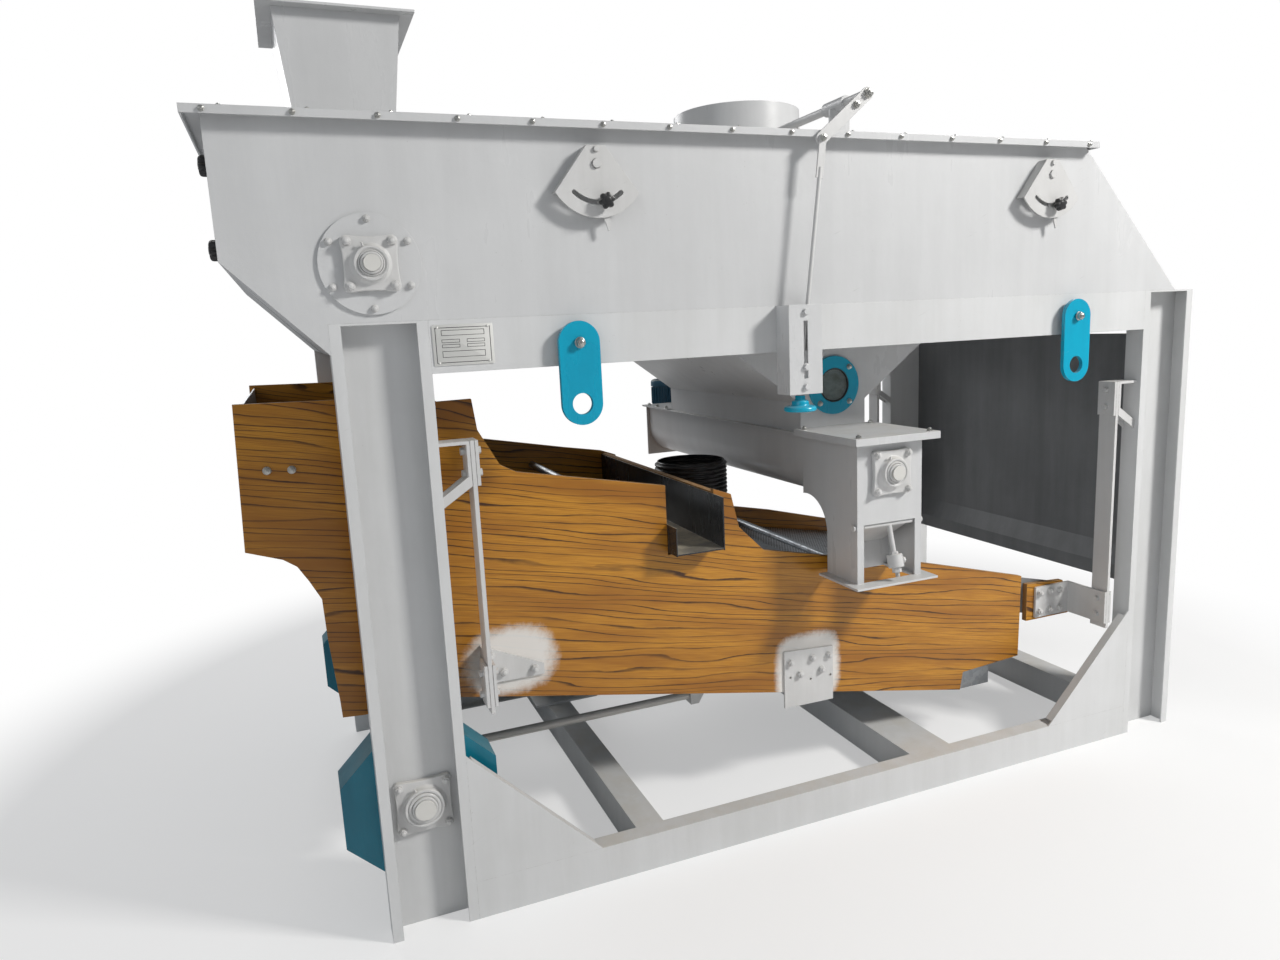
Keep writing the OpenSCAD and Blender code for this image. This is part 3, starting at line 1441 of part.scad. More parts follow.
module drive_guards() {
    y0 = pulley_y - 18;
    color(guard_teal) at_centre() {
        front_and_rear() flywheel_guard();
        difference() {
            upright(y0, pulley_w + 36) belt_outline(pulley_d / 2 + 24, motor_pulley_d / 2 + 24);
            upright(y0 + 2, pulley_w + 32) belt_outline(pulley_d / 2 + 22, motor_pulley_d / 2 + 22);
            along_y(drive_x, drive_z, y0 - 1, 4, drive_shaft_d / 2 + 8);
            along_y(motor_x, motor_z, y0 - 1, 4, motor_shaft_d / 2 + 8);
        }
        // Stays from the posts and the bottom rail to the belt guard
        for (p = [[30, drive_z + 60], [150, drive_z - 90], [560, 70]])
            translate([p[0], frame_depth, p[1]]) cube([40, y0 - frame_depth, 30]);
    }
}

module drive_motor() {
    color(guard_teal) at_centre() {
        difference() {
            union() {
                along_y(motor_x, motor_z, motor_front, motor_back - motor_front, 86);
                for (a = [-15:15:195]) translate([motor_x, 0, motor_z]) rotate([0, -a, 0])
                    translate([84, motor_front + 50, -1.5])
                        cube([12, motor_back - motor_front - 90, 3]);
                along_y(motor_x, motor_z, motor_front, 46, 96);
                along_y(motor_x, motor_z, motor_back - 30, 30, 98);
                translate([motor_x - 45, motor_front + 90, motor_z + 78]) cube([90, 100, 50]);
                for (x = [[-110, 50, 14], [60, 50, 14], [-72, 12, 70], [60, 12, 70]])
                    translate([motor_x + x[0], motor_front + 60, motor_z - motor_foot_h])
                        cube([x[1], motor_back - motor_front - 100, x[2]]);
            }
            along_y(motor_x, motor_z, motor_back - 60, 61, motor_shaft_d / 2 + shaft_gap);
        }
    }
}

module motor_pulley() {
    color(steel) at_centre() {
        pulley(motor_x, motor_z, motor_pulley_d);
        along_y(motor_x, motor_z, motor_back - 50, pulley_y - motor_back + 60,
            motor_shaft_d / 2);
    }
}

module drive_belt() {
    r1 = pulley_d / 2 - 5 + belt_gap;
    r2 = motor_pulley_d / 2 - 5 + belt_gap;
    color(black) at_centre() difference() {
        upright(pulley_y + 6, pulley_w - 12) belt_outline(r1 + 9, r2 + 9);
        upright(pulley_y + 5, pulley_w - 10) belt_outline(r1, r2);
    }
}

// Spacer, bolt and cap that carry a lifting lug
module lug_bolt(x) {
    front = lug_off + lug_t + move_gap;
    along_y(x, lug_bolt_z, -front - 4, front + 30, lug_pin_d / 2);
    along_y(x, lug_bolt_z, -lug_off + move_gap, lug_off - move_gap, lug_pin_d / 2 + 8);
    along_y(x, lug_bolt_z, -front - 3, 3, lug_pin_d);
    bolt_head(x, -front - 3, lug_bolt_z, lug_pin_d);
    along_y(x, lug_bolt_z, frame_t, 13, lug_pin_d * 0.8);
}

module bolts() {
    color(zinc) at_centre() {
        front_and_rear() {
            translate([drive_x, 0, drive_z]) corner_places(drive_pitch())
                bolt_head(0, post_d - frame_t - bearing_t, 0, bolt_d);
            translate([feed_x, 0, feed_z]) corner_places(feed_pitch())
                bolt_head(0, -disc_t - bearing_t, 0, bolt_d);
            for (a = disc_angles) bolt_head(feed_x + disc_bolt_r * cos(a), -disc_t,
                feed_z + disc_bolt_r * sin(a), small_bolt_d + 2);
            for (i = [0:cover_bolts - 1]) {
                x = cover_x0 + 40 + i * (cover_x1 - cover_x0 - 80) / (cover_bolts - 1);
                bolt_head(x, -cover_over, cover_z - cover_lip / 2 + cover_t, small_bolt_d);
                bolt_up(x + 30, -cover_over + 22, cover_top, small_bolt_d);
            }
        }
        translate([auger_x, 0, auger_z]) corner_places(auger_pitch())
            bolt_head(0, -bearing_t, 0, bolt_d);
        translate([0, trough_end + frame_t, 0]) mirror([0, 1, 0])
            translate([auger_x, 0, auger_z]) corner_places(auger_pitch())
                bolt_head(0, -bearing_t, 0, bolt_d);
        for (x = lug_places) lug_bolt(x);
        for (x = [-118, 118], y = [-20, hopper_y - 25])
            bolt_up(auger_x + x, y, trough_top + 14, small_bolt_d + 2);
        for (s = [-1, 1], y = [hopper_end + 40:90:trough_end])
            bolt_up(auger_x + s * (trough_w / 2 + head_over / 2), y,
                trough_top + 2 * sheet_t, small_bolt_d + 2);
        for (i = [0:outlet_bolts - 1]) bolt_up(outlet_x + (outlet_flange_d / 2 - 20)
            * cos((i + 0.5) * 360 / outlet_bolts), mid_depth + (outlet_flange_d / 2 - 20)
            * sin((i + 0.5) * 360 / outlet_bolts), cover_top + 6, small_bolt_d + 4);
        for (x = [-92, 92], y = [80, 160]) translate([motor_x + x, 0, 0])
            bolt_up(0, motor_front + y, bottom_rail_h + motor_plate_t + 14, bolt_d);
    }
}

front_posts();
rear_posts();
top_rails();
bottom_rails();
cross_members();
corner_gussets();
casing_side_plates();
casing_end_plates();
casing_floor();
casing_cover();
casing_baffles();
inlet_hopper();
outlet_ring();
inspection_door();
door_knob_upper();
door_knob_lower();
feed_roller();
feed_end_discs();
flange_bearings();
gearmotors();
hopper_slopes();
hopper_end_plates();
sight_ring();
sight_glass();
auger_trough();
auger_head();
auger_head_lid();
auger_shaft();
auger_flight();
discharge_flap();
outlet_valve();
valve_link();
link_guide();
handwheel();
damper_quadrants();
inlet_damper();
outlet_damper();
inlet_damper_knob();
outlet_damper_knob();
name_plate();
left_lifting_lug();
right_lifting_lug();
end_panel();
boat_side_panels();
boat_pan();
screen_decks();
boat_brackets();
side_chute();
end_chute();
suction_sleeve();
hanger_brackets();
left_hangers();
right_hangers();
drive_shaft();
connecting_rods();
drive_guards();
drive_motor();
motor_pulley();
drive_belt();
bolts();
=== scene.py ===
"""Looks of the grain pre-cleaner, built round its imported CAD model.

Lengths are in metres in the CAD frame: X along the machine, Y from front to rear, Z up.
"""

import json
import logging
import math
from dataclasses import dataclass, field
from enum import Enum

import bmesh
import bpy
from mathutils import Matrix, Vector

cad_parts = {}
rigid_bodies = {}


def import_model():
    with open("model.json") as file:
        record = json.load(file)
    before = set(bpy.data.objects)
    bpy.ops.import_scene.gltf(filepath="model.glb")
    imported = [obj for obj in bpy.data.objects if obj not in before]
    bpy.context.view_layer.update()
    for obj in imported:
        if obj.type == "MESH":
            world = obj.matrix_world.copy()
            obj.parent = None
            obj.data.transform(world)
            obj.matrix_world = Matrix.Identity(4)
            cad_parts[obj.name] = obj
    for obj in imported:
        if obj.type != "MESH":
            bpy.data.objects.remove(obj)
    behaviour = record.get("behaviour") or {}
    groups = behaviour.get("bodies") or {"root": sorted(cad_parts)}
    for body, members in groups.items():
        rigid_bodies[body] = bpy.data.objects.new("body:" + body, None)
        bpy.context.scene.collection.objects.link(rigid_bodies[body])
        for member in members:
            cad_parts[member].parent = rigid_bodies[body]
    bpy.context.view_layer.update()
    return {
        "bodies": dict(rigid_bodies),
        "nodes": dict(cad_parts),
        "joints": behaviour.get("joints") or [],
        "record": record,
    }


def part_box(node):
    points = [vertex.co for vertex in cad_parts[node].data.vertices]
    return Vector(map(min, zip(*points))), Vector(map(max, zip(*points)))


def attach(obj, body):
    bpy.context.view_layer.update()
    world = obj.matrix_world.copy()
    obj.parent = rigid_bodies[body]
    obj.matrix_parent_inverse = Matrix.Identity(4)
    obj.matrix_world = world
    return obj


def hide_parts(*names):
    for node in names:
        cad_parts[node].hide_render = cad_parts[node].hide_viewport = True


LOG = logging.getLogger("pre_cleaner")
Socket = bpy.types.NodeSocket
Node = bpy.types.Node
Colour = tuple[float, float, float, float]

MM = 0.001
# Shift from the machine's own front left floor corner to the frame's origin
CORNER = Vector((-1.1855, -0.7885, 0.0))
# Slope of the boat's decks and of the grain of its boards, in degrees
BOAT_SLOPE = 10.9
# Bolt pitch of a square flange bearing by the size of its shaft, in millimetres
BOLT_PITCH = {35.0: 92.0, 40.0: 102.0, 50.0: 111.0}


def at(x: float, y: float, z: float) -> Vector:
    """Place in the frame of a point given in millimetres from the machine's corner.

    Args:
        x: Distance from the left end of the frame.
        y: Distance from the front face.
        z: Height above the floor.

    Returns:
        The point in metres in the CAD frame.
    """
    return CORNER + Vector((x, y, z)) * MM


def shift(x: float, y: float, z: float) -> Matrix:
    """Matrix that moves by a distance given in millimetres."""
    return Matrix.Translation(Vector((x, y, z)) * MM)


def quarter_turned(x: float, y: float, quarter: int) -> tuple[float, float]:
    """Point turned about the origin by a number of quarter turns."""
    turn = math.radians(90.0 * quarter)
    return x * math.cos(turn) - y * math.sin(turn), x * math.sin(turn) + y * math.cos(turn)


def put(name: str, data: bpy.types.ID) -> bpy.types.Object:
    """New object in the scene.

    Args:
        name: Name of the object.
        data: Its mesh, lamp or camera.

    Returns:
        The object.
    """
    body = bpy.data.objects.new(name, data)
    bpy.context.scene.collection.objects.link(body)
    return body


def shade(red: int, green: int, blue: int) -> Colour:
    """Linear colour of a display colour given as 0 to 255.

    Args:
        red: Red part.
        green: Green part.
        blue: Blue part.

    Returns:
        Linear red, green, blue and an alpha of 1.
    """
    parts = []
    for part in (red, green, blue):
        value = part / 255.0
        parts.append(value / 12.92 if value <= 0.04045 else ((value + 0.055) / 1.055) ** 2.4)
    return (parts[0], parts[1], parts[2], 1.0)


class Way(Enum):
    """Direction in which a piece points."""

    FRONT = Vector((0.0, -1.0, 0.0))
    REAR = Vector((0.0, 1.0, 0.0))
    LEFT = Vector((-1.0, 0.0, 0.0))
    RIGHT = Vector((1.0, 0.0, 0.0))


def facing(place: Vector, way: Way | Vector, turn: float = 0.0) -> Matrix:
    """Matrix that puts a piece built up +Z at a place, pointing another way.

    Args:
        place: Where the piece's base goes.
        way: Direction its +Z takes.
        turn: Turn about its own axis in degrees.

    Returns:
        The placing matrix.
    """
    aim = way.value if isinstance(way, Way) else way
    tip = Vector((0.0, 0.0, 1.0)).rotation_difference(aim).to_matrix().to_4x4()
    return Matrix.Translation(place) @ tip @ Matrix.Rotation(math.radians(turn), 4, "Z")


@dataclass
class Graph:
    """A node tree with short calls for adding and linking nodes."""

    tree: bpy.types.NodeTree

    def add(self, kind: str, **settings: object) -> Node:
        """New node of a kind, with its settings.

        Args:
            kind: Blender's name of the node type.
            **settings: Attributes to set on the node.

        Returns:
            The node.
        """
        node = self.tree.nodes.new(kind)
        for name, value in settings.items():
            setattr(node, name, value)
        return node

    def feed(self, target: Socket, source: object) -> None:
        """Links a socket or sets a plain value.

        Args:
            target: Input socket.
            source: Output socket, number or tuple.
        """
        if isinstance(source, bpy.types.NodeSocket):
            self.tree.links.new(source, target)
        elif source is not None:
            target.default_value = source

    def math(self, operation: str, first: object, second: object = None, clamp: bool = False) -> Socket:
        """Math node on one or two values.

        Args:
            operation: Blender's name of the operation.
            first: First value or socket.
            second: Second value or socket.
            clamp: Whether the result stays within 0 and 1.

        Returns:
            The result's socket.
        """
        node = self.add("ShaderNodeMath", operation=operation, use_clamp=clamp)
        self.feed(node.inputs[0], first)
        self.feed(node.inputs[1], second)
        return node.outputs[0]

    def times(self, first: object, second: object, clamp: bool = False) -> Socket:
        """Product of two values."""
        return self.math("MULTIPLY", first, second, clamp)

    def plus(self, first: object, second: object, clamp: bool = False) -> Socket:
        """Sum of two values."""
        return self.math("ADD", first, second, clamp)

    def minus(self, first: object, second: object, clamp: bool = False) -> Socket:
        """Difference of two values."""
        return self.math("SUBTRACT", first, second, clamp)

    def vector(self, operation: str, first: Socket, second: object = None, out: str = "Vector") -> Socket:
        """Vector math node on one or two vectors.

        Args:
            operation: Blender's name of the operation.
            first: First vector.
            second: Second vector, as a socket or plain.
            out: Output to read, Vector or Value.

        Returns:
            The result's socket.
        """
        node = self.add("ShaderNodeVectorMath", operation=operation)
        self.feed(node.inputs[0], first)
        self.feed(node.inputs[1], second)
        return node.outputs[out]

    def parts(self, vector: Socket) -> bpy.types.NodeOutputs:
        """Splits a vector.

        Args:
            vector: The vector's socket.

        Returns:
            Its outputs X, Y and Z.
        """
        node = self.add("ShaderNodeSeparateXYZ")
        self.feed(node.inputs[0], vector)
        return node.outputs

    def normal(self) -> Socket:
        """Normal of the face being shaded."""
        return self.add("ShaderNodeNewGeometry").outputs["Normal"]

    def span(self, value: object, low: float, high: float, to_low: float = 0.0,
             to_high: float = 1.0) -> Socket:
        """Maps a value smoothly from one range to another.

        Args:
            value: Value or socket.
            low: Start of the range.
            high: End of the range.
            to_low: Result at the start.
            to_high: Result at the end.

        Returns:
            The result's socket.
        """
        node = self.add("ShaderNodeMapRange", interpolation_type="SMOOTHSTEP")
        self.feed(node.inputs["Value"], value)
        node.inputs["From Min"].default_value = low
        node.inputs["From Max"].default_value = high
        node.inputs["To Min"].default_value = to_low
        node.inputs["To Max"].default_value = to_high
        return node.outputs[0]

    def blend(self, share: object, first: object, second: object, mode: str = "MIX") -> Socket:
        """Mix of two colours.

        Args:
            share: Share of the second colour.
            first: First colour or socket.
            second: Second colour or socket.
            mode: Blender's name of the blend mode.

        Returns:
            The mixed colour's socket.
        """
        node = self.add("ShaderNodeMix", data_type="RGBA", blend_type=mode)
        self.feed(node.inputs[0], share)
        self.feed(node.inputs[6], first)
        self.feed(node.inputs[7], second)
        return node.outputs[2]

    def noise(self, vector: Socket, scale: object, detail: float = 4.0, rough: float = 0.55) -> Socket:
        """Noise value at a place.

        Args:
            vector: Coordinates.
            scale: Scale of the noise, in repeats per metre.
            detail: Number of octaves.
            rough: Strength of the finer octaves.

        Returns:
            The noise's socket, about 0.5 on average.
        """
        node = self.add("ShaderNodeTexNoise")
        self.feed(node.inputs["Vector"], vector)
        self.feed(node.inputs["Scale"], scale)
        node.inputs["Detail"].default_value = detail
        node.inputs["Roughness"].default_value = rough
        return node.outputs[0]

    def stretch(self, vector: Socket, scale: tuple[float, float, float], tilt: float = 0.0) -> Socket:
        """Coordinates turned about Y and stretched.

        Args:
            vector: Coordinates.
            scale: Stretch along X, Y and Z.
            tilt: Turn about Y in degrees, made before the stretch.

        Returns:
            The new coordinates' socket.
        """
        turn = self.add("ShaderNodeMapping", vector_type="POINT")
        self.feed(turn.inputs["Vector"], vector)
        turn.inputs["Rotation"].default_value = (0.0, math.radians(tilt), 0.0)
        grow = self.add("ShaderNodeMapping", vector_type="POINT")
        self.feed(grow.inputs["Vector"], turn.outputs[0])
        grow.inputs["Scale"].default_value = scale
        return grow.outputs[0]


class Groups:
    """Shader node groups that several finishes share."""

    def __init__(self) -> None:
        """Builds every group once."""
        self.wear = self._edge_wear()
        self.dust = self._dust()
        self.paint = self._sheet_paint()
        self.metal = self._worked_metal()
        self.wood = self._wood_grain()
        self.holes = self._round_holes()

    @staticmethod
    def _start(name: str, inputs: dict[str, float], outputs: list[str]) -> tuple[Graph, Node, Node]:
        """Empty group that takes coordinates, with its other sockets.

        Args:
            name: Name of the group.
            inputs: Number inputs with their defaults.
            outputs: Names of number outputs.

        Returns:
            The graph, its input node and its output node.
        """
        tree = bpy.data.node_groups.new(name, "ShaderNodeTree")
        tree.interface.new_socket("Vector", in_out="INPUT", socket_type="NodeSocketVector")
        for label, value in inputs.items():
            made = tree.interface.new_socket(label, in_out="INPUT", socket_type="NodeSocketFloat")
            made.default_value = value
        for label in outputs:
            tree.interface.new_socket(label, in_out="OUTPUT", socket_type="NodeSocketFloat")
        graph = Graph(tree)
        return graph, graph.add("NodeGroupInput"), graph.add("NodeGroupOutput")

    def _edge_wear(self) -> bpy.types.NodeTree:
        """Mask of rubbed outer edges, broken up by noise.

        Returns:
            The group.
        """
        graph, given, out = self._start("edge_wear", {"Width": 0.002, "Amount": 0.5, "Breakup": 60.0},
                                        ["Mask", "Edge"])
        rounded = graph.add("ShaderNodeBevel", samples=6)
        graph.feed(rounded.inputs["Radius"], given.outputs["Width"])
        alike = graph.vector("DOT_PRODUCT", rounded.outputs[0], graph.normal(), "Value")
        edge = graph.span(graph.minus(1.0, alike), 0.03, 0.22)
        cloud = graph.noise(given.outputs["Vector"], given.outputs["Breakup"], 6.0, 0.7)
        fine = graph.times(edge, graph.span(cloud, 0.42, 0.62))
        graph.feed(out.inputs["Mask"], graph.times(fine, given.outputs["Amount"], clamp=True))
        graph.feed(out.inputs["Edge"], edge)
        return graph.tree

    def _dust(self) -> bpy.types.NodeTree:
        """Mask of dust that lies on faces that look up; at a high amount it also paints light on floors that
        face up.

        Returns:
            The group.
        """
        graph, given, out = self._start("dust", {"Amount": 0.3, "Scale": 9.0}, ["Mask"])
        parts = graph.parts(graph.normal())
        up = graph.span(parts["Z"], 0.35, 0.95)
        cloud = graph.noise(given.outputs["Vector"], given.outputs["Scale"], 8.0, 0.68)
        fall = graph.times(up, graph.span(cloud, 0.36, 0.68, 0.25, 1.0))
        graph.feed(out.inputs["Mask"], graph.times(fall, given.outputs["Amount"], clamp=True))
        return graph.tree

    def _sheet_paint(self) -> bpy.types.NodeTree:
        """Sprayed sheet: orange peel, long runs of tone, scuffs and fine specks.

        Returns:
            The group.
        """
        graph, given, out = self._start("sheet_paint", {"Peel": 1.0}, ["Height", "Tone", "Scuff", "Speck"])
        here = given.outputs["Vector"]
        peel = graph.noise(here, 420.0, 2.0, 0.5)
        wave = graph.noise(here, 26.0, 3.0, 0.5)
        height = graph.plus(graph.times(peel, 0.35), graph.times(wave, 1.6))
        graph.feed(out.inputs["Height"], graph.times(height, given.outputs["Peel"]))
        broad = graph.noise(here, 1.7, 5.0, 0.6)
        runs = graph.noise(graph.stretch(here, (14.0, 14.0, 1.2)), 1.0, 5.0, 0.62)
        graph.feed(out.inputs["Tone"], graph.plus(graph.times(broad, 0.6), graph.times(runs, 0.4)))
        scratch = graph.noise(graph.stretch(here, (9.0, 40.0, 130.0), 24.0), 1.0, 3.0, 0.75)
        place = graph.noise(here, 5.0, 3.0, 0.6)
        scuff = graph.times(graph.span(scratch, 0.66, 0.74), graph.span(place, 0.52, 0.66))
        graph.feed(out.inputs["Scuff"], scuff)
        speck = graph.add("ShaderNodeTexVoronoi", feature="F1")
        graph.feed(speck.inputs["Vector"], here)
        speck.inputs["Scale"].default_value = 55.0
        dots = graph.span(speck.outputs["Distance"], 0.035, 0.075, 1.0, 0.0)
        spread = graph.span(graph.noise(here, 7.0, 2.0), 0.55, 0.7)
        graph.feed(out.inputs["Speck"], graph.times(dots, spread))
        return graph.tree

    def _worked_metal(self) -> bpy.types.NodeTree:
        """Bare metal: spangle cells, brushed lines and smears.

        Returns:
            The group.
        """
        graph, given, out = self._start("worked_metal", {"Cells": 90.0, "Lines": 260.0},
                                        ["Spangle", "Brush", "Smear"])
        here = given.outputs["Vector"]
        cells = graph.add("ShaderNodeTexVoronoi", feature="F1")
        graph.feed(cells.inputs["Vector"], here)
        graph.feed(cells.inputs["Scale"], given.outputs["Cells"])
        split = graph.add("ShaderNodeSeparateColor")
        graph.feed(split.inputs[0], cells.outputs["Color"])
        graph.feed(out.inputs["Spangle"], split.outputs[0])
        long = graph.stretch(here, (0.03, 0.03, 1.0))
        graph.feed(out.inputs["Brush"], graph.noise(long, given.outputs["Lines"], 3.0, 0.6))
        graph.feed(out.inputs["Smear"], graph.noise(here, 11.0, 6.0, 0.66))
        return graph.tree

    def _wood_grain(self) -> bpy.types.NodeTree:
        """Grain of a sawn face along X: thin growth lines with long loops, and fine fibres.

        Returns:
            The group.
        """
        graph, given, out = self._start("wood_grain", {"Rings": 54.0, "Sway": 5.4, "Loops": 3.1},
                                        ["Line", "Fibre", "Tone", "Height"])
        here = given.outputs["Vector"]
        parts = graph.parts(here)
        sway = graph.noise(graph.stretch(here, (0.7, 2.0, 5.5)), 1.0, 1.0, 0.4)
        loops = graph.noise(graph.stretch(here, (2.3, 3.0, 21.0)), 1.0, 1.0, 0.4)
        ripple = graph.noise(graph.stretch(here, (18.0, 6.0, 90.0)), 1.0, 2.0, 0.5)
        rise = graph.times(parts["Z"], given.outputs["Rings"])
        bend = graph.times(sway, given.outputs["Sway"])
        bend = graph.plus(bend, graph.times(loops, given.outputs["Loops"]))
        ring = graph.plus(graph.plus(rise, bend), graph.times(ripple, 0.2))
        saw = graph.math("FRACT", ring)
        sharp = graph.times(graph.span(saw, 0.76, 0.93), graph.span(saw, 0.96, 1.0, 1.0, 0.0))
        patches = graph.noise(graph.stretch(here, (2.6, 4.0, 20.0)), 1.0, 3.0, 0.6)
        line = graph.times(sharp, graph.span(patches, 0.34, 0.56, 0.35, 1.0))
        graph.feed(out.inputs["Line"], line)
        fibre = graph.noise(graph.stretch(here, (9.0, 60.0, 520.0)), 1.0, 4.0, 0.65)
        graph.feed(out.inputs["Fibre"], fibre)
        graph.feed(out.inputs["Tone"], graph.noise(graph.stretch(here, (1.6, 2.0, 14.0)), 1.0, 4.0, 0.6))
        graph.feed(out.inputs["Height"], graph.plus(graph.times(line, -0.5), fibre))
        return graph.tree

    def _round_holes(self) -> bpy.types.NodeTree:
        """Staggered rows of round holes, as in a punched sieve; the pattern repeats along X and Y.

        Returns:
            The group.
        """
        graph, given, out = self._start("round_holes", {"PerMetre": 90.0, "Share": 0.6}, ["Hole"])
        grown = graph.add("ShaderNodeVectorMath", operation="SCALE")
        graph.feed(grown.inputs[0], given.outputs["Vector"])
        graph.feed(grown.inputs["Scale"], given.outputs["PerMetre"])
        row = math.sqrt(3.0)
        nearest: Socket | None = None
        for offset in ((0.0, 0.0, 0.0), (0.5, row / 2, 0.0)):
            moved = graph.vector("ADD", grown.outputs[0], offset)
            inside = graph.vector("FRACTION", graph.vector("DIVIDE", moved, (1.0, row, 1.0)))
            middle = graph.vector("SUBTRACT", inside, (0.5, 0.5, 0.0))
            away = graph.vector("LENGTH", graph.vector("MULTIPLY", middle, (1.0, row, 0.0)), out="Value")
            nearest = away if nearest is None else graph.math("MINIMUM", nearest, away)
        rim = graph.minus(nearest, graph.times(given.outputs["Share"], 0.5))
        graph.feed(out.inputs["Hole"], graph.span(rim, -0.03, 0.03, 1.0, 0.0))
        return graph.tree


@dataclass(frozen=True)
class Finish:
    """A surface of the machine, which makes one material."""

    name: str

    def begin(self) -> tuple[bpy.types.Material, Graph, Node, Socket]:
        """New material with its shader and Object coordinates.

        Returns:
            The material, its graph, the Principled shader and the coordinates.
        """
        made = bpy.data.materials.new(self.name)
        made.use_nodes = True
        graph = Graph(made.node_tree)
        shader = made.node_tree.nodes["Principled BSDF"]
        here = graph.add("ShaderNodeTexCoord").outputs["Object"]
        return made, graph, shader, here

    @staticmethod
    def use(graph: Graph, group: bpy.types.NodeTree, here: Socket, **values: float) -> Node:
        """Places a shared group in a material.

        Args:
            graph: The material's graph.
            group: The shared group.
            here: Coordinates.
            **values: Values of the group's inputs.

        Returns:
            The group node.
        """
        node = graph.add("ShaderNodeGroup", node_tree=group)
        graph.feed(node.inputs["Vector"], here)
        for label, value in values.items():
            node.inputs[label].default_value = value
        return node

    @staticmethod
    def relief(graph: Graph, height: Socket, depth: float, soft: float = 0.0) -> Socket:
        """Normal of a bumped surface, over edges that look slightly rounded.

        Args:
            graph: The material's graph.
            height: Height socket.
            depth: Depth of the relief in metres.
            soft: Radius of the rounded edges.

        Returns:
            The normal's socket.
        """
        bump = graph.add("ShaderNodeBump")
        bump.inputs["Strength"].default_value = 1.0
        bump.inputs["Distance"].default_value = depth
        graph.feed(bump.inputs["Height"], height)
        if soft:
            rounded = graph.add("ShaderNodeBevel", samples=6)
            rounded.inputs["Radius"].default_value = soft
            graph.feed(bump.inputs["Normal"], rounded.outputs[0])
        return bump.outputs[0]

    def build(self, groups: Groups) -> bpy.types.Material:
        """Material of this finish."""
        raise NotImplementedError


@dataclass(frozen=True)
class Paint(Finish):
    """Sprayed enamel on steel."""

    colour: Colour
    deep: Colour
    under: Colour = shade(120, 116, 110)
    dust_colour: Colour = shade(186, 176, 156)
    rough: float = 0.34
    wear: float = 0.35
    dust: float = 0.25
    peel: float = 1.0
    soft: float = 0.0012

    def build(self, groups: Groups) -> bpy.types.Material:
        """Enamel with peel, tone, scuffs, worn edges, and dust on faces that look up, which on the chute
        sheets is also painted light on their floors.

        Args:
            groups: The shared shader groups.

        Returns:
            The material.
        """
        made, graph, shader, here = self.begin()
        coat = self.use(graph, groups.paint, here, Peel=self.peel)
        worn = self.use(graph, groups.wear, here, Width=0.0022, Amount=self.wear, Breakup=70.0)
        lying = self.use(graph, groups.dust, here, Amount=self.dust)
        tone = graph.span(coat.outputs["Tone"], 0.32, 0.68)
        body = graph.blend(tone, self.deep, self.colour)
        body = graph.blend(graph.times(coat.outputs["Speck"], 0.35), body, self.under)
        body = graph.blend(graph.times(coat.outputs["Scuff"], 0.22), body, self.under)
        body = graph.blend(worn.outputs["Mask"], body, self.under)
        # Pale coat on faces that look up: dust, and on the chute sheets also painted light on their floors
        body = graph.blend(lying.outputs["Mask"], body, self.dust_colour)
        graph.feed(shader.inputs["Base Color"], body)
        smooth = graph.plus(graph.times(tone, -0.08), self.rough + 0.04)
        smooth = graph.plus(smooth, graph.times(coat.outputs["Scuff"], 0.2))
        smooth = graph.plus(smooth, graph.times(lying.outputs["Mask"], 0.5), clamp=True)
        graph.feed(shader.inputs["Roughness"], smooth)
        graph.feed(shader.inputs["Normal"], self.relief(graph, coat.outputs["Height"], 0.00035, self.soft))
        return made


